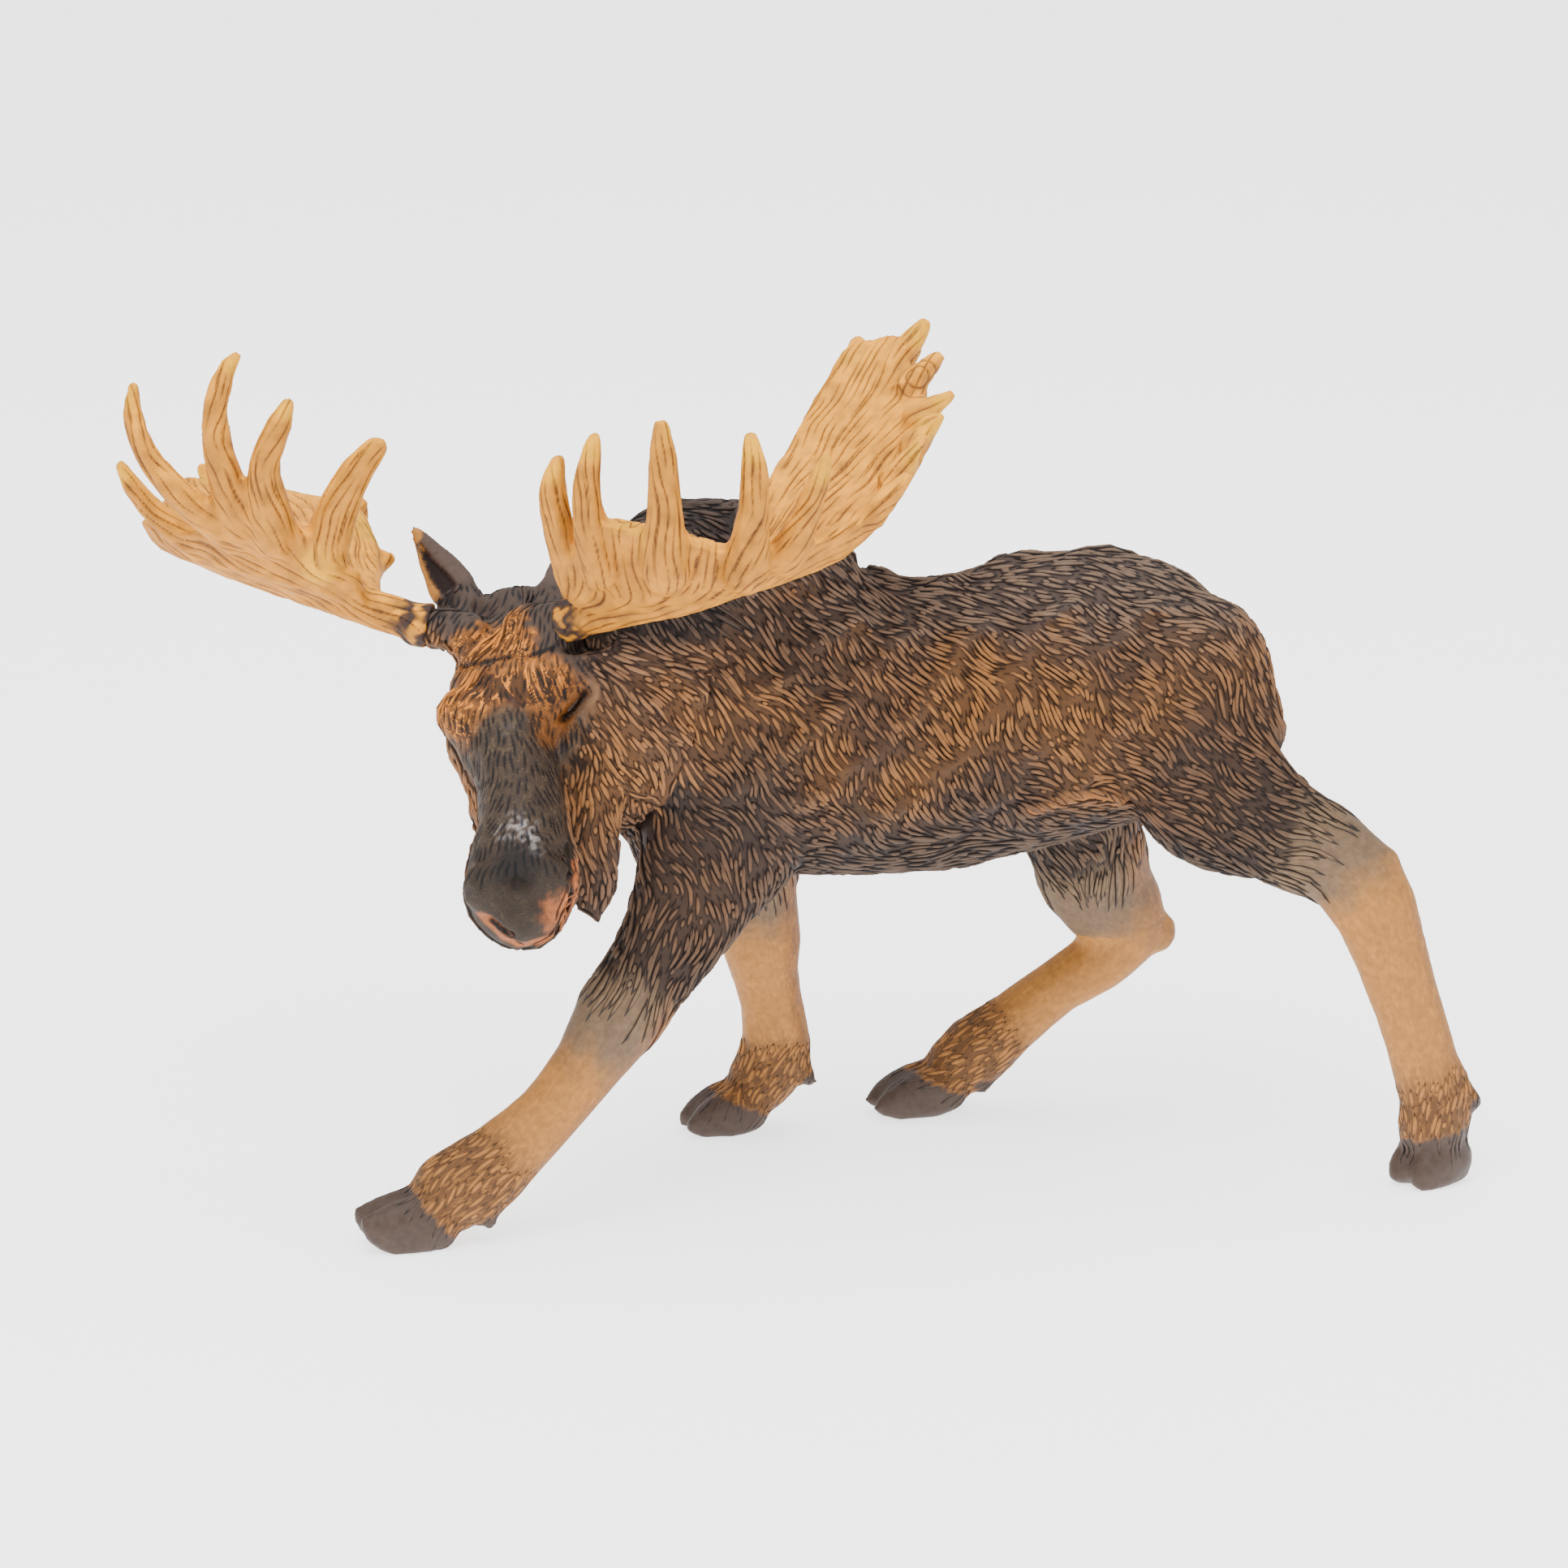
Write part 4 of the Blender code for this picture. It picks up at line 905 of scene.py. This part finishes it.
def head_paint(face, points, normals):
    """Give the head's paint, how furry it is, its short hair, roughness and streaks."""
    fine = speckle(points, 1.6, 6.0)
    speckles = speckle(points, 0.7, 4.0)
    tint = coat_paint(points, normals) * HEAD_COAT_LIGHT
    gap, place = along(points, face.line)
    reach = np.interp(place, np.arange(len(face.reach)), face.reach)
    ahead = smooth(-0.1, 0.25, -normals[:, 1] - 0.3 * normals[:, 0])
    front = smooth(1.25, 0.95, gap / reach) * ahead
    tint = brush(
        tint,
        (CROWN, front * smooth(3.0, 2.0, place)),
        (CROWN, smooth(66.0, 69.0, points[:, 2] / MM + fine)),
        (FACE_GREY, front * smooth(1.9, 2.7, place + 0.3 * fine)),
        (MUZZLE_DARK, front * smooth(5.6, 6.6, place + 0.2 * fine)),
    )
    brow = np.zeros(len(points))
    for u, v, size, colour, power in FACE_SPOTS:
        away = dist(points, face.skin.seen_at(u, v))
        amount = power * smooth(size * 1.35, size * 0.5, away + 0.25 * size * fine + 0.8 * speckles)
        # The pale dry-brushed paint and painted highlight break up into specks
        if colour is FACE_PALE_HIGHLIGHT:
            amount *= smooth(-0.15, 0.35, speckles)
        tint = blend(tint, colour, amount)
        if colour is BROW:
            brow = np.maximum(brow, amount)
    edge, _ = along(points, face.marks(MUZZLE_EDGE))
    tint = blend(tint, LIP, smooth(1.3, 0.5, edge + 0.4 * fine) * 0.75)
    lip, _ = along(points, face.marks(LIP_LINE))
    tint = blend(tint, LIP, smooth(0.9, 0.4, lip + 0.2 * fine))
    for pixels, far, _, _, width in HEAD_LINES:
        if width > 0:
            line, _ = along(points, face.marks(pixels, far))
            tint = blend(tint, SLIT_DARK, smooth(width * 1.3, width * 0.5, line))
    ear, hollow, rim = ear_parts(face, points, normals)
    tint = brush(tint, (EAR_SHADE, ear), (EAR_RIM, rim), (EAR_DARK, hollow * smooth(-0.9, 0.2, fine + 0.6)))
    lid, _ = along(points, face.marks(EYE_SLIT))
    bare = np.maximum(np.maximum(ear, smooth(2.4, 1.6, lid)), front * smooth(6.2, 7.0, place))
    short = np.maximum(front, bare)
    furry = np.clip(1.0 - short * 1.2, 0.0, 1.0)
    streaks = np.clip(brow * 1.1 + 0.5 * front * smooth(2.5, 3.2, place) + 0.5 * hollow, 0.0, 1.0)
    return SimpleNamespace(tint=tint, furry=furry, hair=np.zeros(len(points)), short=short * (1.0 - bare),
                           rough=0.62 - 0.1 * front, streaks=streaks)


def sculpt_face(face):
    """Carve the brow's crease, the eyes with their lids, the nostrils, the mouth and the ears' hollows."""
    skin = face.skin
    change = np.zeros(len(skin.points))
    for pixels, far, width, depth, _ in HEAD_LINES:
        gap, _ = along(skin.points, face.marks(pixels, far))
        change += depth * np.exp(-(gap / width) ** 2)
    _, hollow, _ = ear_parts(face, skin.points, skin.normals)
    skin.move(change - EAR_DEPTH * hollow)
    skin.update()


def add_eye(name, face, slit, material):
    """Add one dark eye in its slit, longer than it is wide."""
    middle = slit[2]
    _, normal, _, _ = face.skin.tree.find_nearest(middle)
    length = (slit[-2] - slit[0]).normalized()
    side = length.cross(normal).normalized()
    normal = side.cross(length)
    shape = bmesh.new()
    bmesh.ops.create_icosphere(shape, subdivisions=4, radius=1.0)
    for vert in shape.verts:
        x, y, z = (a * b for a, b in zip(vert.co, EYE_SIZE))
        vert.co = middle + (length * x + side * y + normal * (z - EYE_DEPTH)) * MM
    mesh = bpy.data.meshes.new(name)
    shape.to_mesh(mesh)
    shape.free()
    mesh.shade_smooth()
    add_piece(name, mesh, material)


# How lines are laid and ridges built, in millimetres and degrees: the gap beside a line and ahead of
# it, its length and number of steps, how far and on what scale the flow swings, the shortest line that
# is kept, how many starts are tried, and a ridge's half width, height and rings
FUR_STYLE = SimpleNamespace(
    gap=0.42, ahead=0.2, length=5.4, steps=10, wave=21.0, scale=4.2, shortest=1.1, tries=130000, seed=11,
    width=0.36, height=0.32, rings=5,
)
HOOF_HAIR_STYLE = SimpleNamespace(
    gap=0.5, ahead=0.22, length=3.6, steps=8, wave=16.0, scale=3.0, shortest=1.0, tries=9000, seed=12,
    width=0.34, height=0.08, rings=6,
)
FACE_STYLE = SimpleNamespace(
    gap=0.52, ahead=0.3, length=2.8, steps=6, wave=18.0, scale=3.0, shortest=0.9, tries=20000, seed=14,
    width=0.3, height=0.18,
)
ANTLER_STYLE = SimpleNamespace(
    gap=0.75, ahead=0.2, length=17.0, steps=28, wave=14.0, scale=4.5, shortest=3.0, tries=40000, seed=15,
    width=0.28, height=0.2,
)
# How deep the feet of the ridges sit in the skin, how far the skin lies lower under the coat and under
# the hair over the hooves, and the height and scale of the lumps in the coat, in millimetres
RIDGE_SINK = 0.12
COAT_SINK = 0.3
HAIR_SINK = 0.06
LUMP_HEIGHT = 0.2
LUMP_SCALE = 5.0


def build_figure(fur, eye_gloss):
    """The body and the head with their skins, the coat that runs over both, and the eyes."""
    body = Skin("body", BODY_GRAIN, BODY_ROUNDS)
    head = Skin("head", HEAD_GRAIN, HEAD_ROUNDS)
    face = Face(head)
    to_bell = dist(head.points, head.seen_at(*BELL_TIP))
    head.round_off(smooth(BELL_REACH, 0.4 * BELL_REACH, to_bell), BELL_ROUNDS)
    spots = []
    for u, v, size, colour, power in BODY_SPOTS:
        place = body.seen_at(u, v)
        spots.append((place, size, colour, power))
        spots.append((mirror(place, MIDDLE_Y), size, colour, power))
    fold = [body.seen_at(u, v) for u, v in FLANK_FOLD]
    body_look = body_paint(spots, fold, body.points, body.normals)
    body.relax(FURRY_BODY_ROUNDS, body_look.furry[:, None])
    body.move(FOLD_HEIGHT * np.exp(-(along(body.points, fold)[0] / FOLD_WIDTH) ** 2))
    body.close_seam("head", SEAM_WAY)
    sculpt_face(face)
    head.close_seam("body", -SEAM_WAY)
    head_look = head_paint(face, head.points, head.normals)
    head.relax(FURRY_HEAD_ROUNDS, (head_look.furry ** 2)[:, None])
    flow = Flow((body, BODY_ARROWS, True), (head, HEAD_ARROWS, False))

    short_lines = spread_lines(head, flow, head_look.short > 0.4, FACE_STYLE)
    grooves = carve(head, short_lines, FACE_STYLE.width)
    for skin, look, cut in ((body, body_look, 0.0), (head, head_look, FACE_STYLE.height * grooves)):
        lumps = speckle(skin.points, LUMP_SCALE, 7.0) * LUMP_HEIGHT * look.furry
        skin.move(lumps - COAT_SINK * look.furry - HAIR_SINK * look.hair - cut)
        skin.update()

    pelt = join_skins((body, head))
    furry = np.concatenate((body_look.furry, head_look.furry)) > 0.5
    hidden = np.concatenate((body.normals @ SEAM_WAY, head.normals @ -SEAM_WAY)) > 0.8
    other = np.concatenate((nearness(body, head), nearness(head, body)))
    lines = spread_lines(pelt, flow, furry & ~(hidden & (other < SEAM_BARE)), FUR_STYLE)
    on_head = []
    on_body = []
    for line in lines:
        start = line[0][0]
        near_head = head.tree.find_nearest(start)[3] < body.tree.find_nearest(start)[3]
        (on_head if near_head else on_body).append(line)
    on_body.sort(key=lambda line: line[0][0][0])
    third = len(on_body) // 3

    body_painter = partial(body_paint, spots, fold)
    head_painter = partial(head_paint, face)
    add_coat("front_coat", on_body[:third], FUR_STYLE, 21, body_painter, fur)
    add_coat("middle_coat", on_body[third:2 * third], FUR_STYLE, 22, body_painter, fur)
    add_coat("rear_coat", on_body[2 * third:], FUR_STYLE, 25, body_painter, fur)
    add_coat("head_coat", on_head, FUR_STYLE, 23, head_painter, fur)
    hoof_spots = (body_look.hair > 0.5) & (body_look.furry < 0.5)
    hoof_lines = spread_lines(body, flow, hoof_spots, HOOF_HAIR_STYLE)
    add_coat("hoof_hair", hoof_lines, HOOF_HAIR_STYLE, 24, body_painter, fur)

    crest = 1.0 - 0.4 * body_look.furry - 0.3 * body_look.hair
    piece = body.show("body_skin", fur, body_look, crest, body_look.grain * 1.6)
    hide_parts("body")
    local = (head.points - np.array(face.line[2])) / MM
    way = flow.at(head.points, head.normals)
    grain = local - way * ((local * way).sum(1) * 0.86)[:, None]
    crest = (1.0 - 0.4 * head_look.furry) * (1.0 - 0.8 * grooves)
    piece = head.show("head_skin", fur, head_look, crest, grain)
    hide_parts("head")
    add_eye("left_eye", face, face.marks(EYE_SLIT), eye_gloss)
    add_eye("right_eye", face, face.marks(EYE_SLIT, True), eye_gloss)


def nearness(skin, other):
    """Give each vertex's distance to another skin, in millimetres."""
    return np.array([other.tree.find_nearest(point)[3] for point in skin.points]) / MM


class AntlerFlow(Flow):
    """The run of an antler's grooves, along streaks that were drawn on the photograph."""

    def __init__(self, skin, streaks, reach=3.0):
        places = []
        ways = []
        for streak in streaks:
            spots = []
            for (u, v), (next_u, next_v) in zip(streak[:-1], streak[1:]):
                for t in (0.0, 0.33, 0.67):
                    spots.append(skin.seen_at(u + t * (next_u - u), v + t * (next_v - v)))
            spots.append(skin.seen_at(*streak[-1]))
            for start, end in zip(spots[:-1], spots[1:]):
                places.append((start + end) / 2)
                ways.append((end - start).normalized())
        self.places = np.array(places)
        self.ways = np.array(ways)
        self.reach = reach * MM


def build_antler(side, streaks, base, material):
    """One antler with wavy grooves that run along its beam, palm and tines."""
    node = "antler_" + side
    skin = Skin(node, ANTLER_GRAIN, ANTLER_ROUNDS)
    skin.close_seam("head", np.array((BROW_MIDDLE * MM - base).normalized()))
    hollow = skin.hollows(HOLLOW_ROUNDS)
    flow = AntlerFlow(skin, streaks)
    ends = [skin.seen_at(*streak[-1]) for streak in streaks]
    tip = np.max([smooth(TINE_REACH, 0.4 * TINE_REACH, dist(skin.points, end)) for end in ends], axis=0)
    skin.round_off(tip, TINE_ROUNDS)
    every = np.ones(len(skin.points), bool)
    lines = spread_lines(skin, flow, every, ANTLER_STYLE)
    grooves = carve(skin, lines, ANTLER_STYLE.width)
    if side == "left":
        gap = dist(skin.points, skin.seen_at(*KNOT)) + 0.4 * speckle(skin.points, 2.0, 9.0)
        for ring in KNOT_RINGS:
            grooves = np.maximum(grooves, 0.8 * np.exp(-((gap - ring) / KNOT_LINE) ** 2))
    halo = carve(skin, lines[::3], 1.5)
    skin.move(-ANTLER_STYLE.height * grooves + 0.06 * speckle(skin.points, 1.6, 4.0))
    patch = speckle(skin.points, 4.0, 8.0)
    fine = speckle(skin.points, 1.2, 3.0)
    burr = dist(skin.points, base)
    tint = brush(
        np.tile(ANTLER, (len(skin.points), 1)),
        # Faces that look up are painted paler: painted light from above
        (ANTLER_PAINTED_LIGHT, smooth(0.15, 0.7, skin.normals[:, 2] + 0.4 * patch) * 0.8),
        (ANTLER_WASH, smooth(0.1, 0.6, speckle(skin.points, 3.2, 6.0) + 0.4 * fine) * 0.25),
        (ANTLER_WASH, smooth(0.1, 0.9, halo) * smooth(-0.4, 0.4, patch + 0.5 * fine) * 0.45),
        (ANTLER_WASH, smooth(0.03, 0.4, hollow + 0.1 * fine) * 0.65),
        (ANTLER_TIP, tip * smooth(-0.5, 0.2, patch + 0.5 * fine) * 0.8),
        (ANTLER_BURR, smooth(6.0, 3.6, burr + 1.4 * fine) * smooth(-0.4, 0.1, fine)),
    )
    look = SimpleNamespace(tint=tint, rough=0.5, streaks=0.0)
    piece = skin.show(node + "_skin", material, look, 1.0 - grooves)
    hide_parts(node)


# The floor's side in metres, and how much it and the sky shine by themselves
FLOOR_SIZE = 12.0
FLOOR_GLOW = 1.8
SKY_GLOW = 1.3
# The soft lights: place and side in metres, and power in watts
LIGHTS = (
    ("key", (-0.25, -0.35, 0.75), 0.5, 5.5),
    ("top", (0.15, 0.1, 0.8), 0.6, 2.5),
    ("fill", (0.4, -0.7, 0.25), 0.6, 1.0),
)
SENSOR_WIDTH = 36.0


def add_studio():
    """The pale floor, the soft lights and the photograph's camera."""
    _, _, back = camera_axes()
    scene = bpy.context.scene
    bpy.ops.mesh.primitive_plane_add(size=FLOOR_SIZE, location=(0.0, 0.0, 0.0))
    floor = bpy.context.object
    floor.name = "floor"
    material, shader, _, _ = principled("pale_floor", 0.7)
    shader.inputs["Base Color"].default_value = (0.93, 0.93, 0.93, 1.0)
    shader.inputs["Emission Color"].default_value = (1.0, 1.0, 1.0, 1.0)
    shader.inputs["Emission Strength"].default_value = FLOOR_GLOW
    floor.data.materials.append(material)
    world = bpy.data.worlds.new("studio")
    world.use_nodes = True
    world.node_tree.nodes["Background"].inputs["Color"].default_value = (1.0, 1.0, 1.0, 1.0)
    world.node_tree.nodes["Background"].inputs["Strength"].default_value = SKY_GLOW
    scene.world = world
    for name, place, size, power in LIGHTS:
        lamp = bpy.data.lights.new(name, "AREA")
        lamp.energy = power
        lamp.size = size
        light = bpy.data.objects.new(name, lamp)
        light.location = place
        light.rotation_mode = "QUATERNION"
        light.rotation_quaternion = (Vector(place) - CAMERA_AIM).to_track_quat("Z", "Y")
        scene.collection.objects.link(light)
    lens = bpy.data.cameras.new("camera")
    lens.sensor_width = SENSOR_WIDTH
    lens.lens = PHOTO_FOCAL * SENSOR_WIDTH / PHOTO_SIZE
    lens.clip_start = 0.01
    camera = bpy.data.objects.new("camera", lens)
    camera.location = CAMERA_AIM + back * CAMERA_DISTANCE
    camera.rotation_mode = "QUATERNION"
    camera.rotation_quaternion = back.to_track_quat("Z", "Y")
    scene.collection.objects.link(camera)
    scene.camera = camera


def main():
    fur = painted_plastic("painted_fur", (0.16, 0.18, 0.27), 0.8, 0.35)
    horn = painted_plastic("painted_antler", (0.22, 0.17, 0.4), 1.6, 0.25, 0.1, 0.8)
    build_figure(fur, glossy_eye())
    for side, streaks, base in ANTLERS:
        build_antler(side, streaks, Vector(base) * MM, horn)
    add_studio()


main()
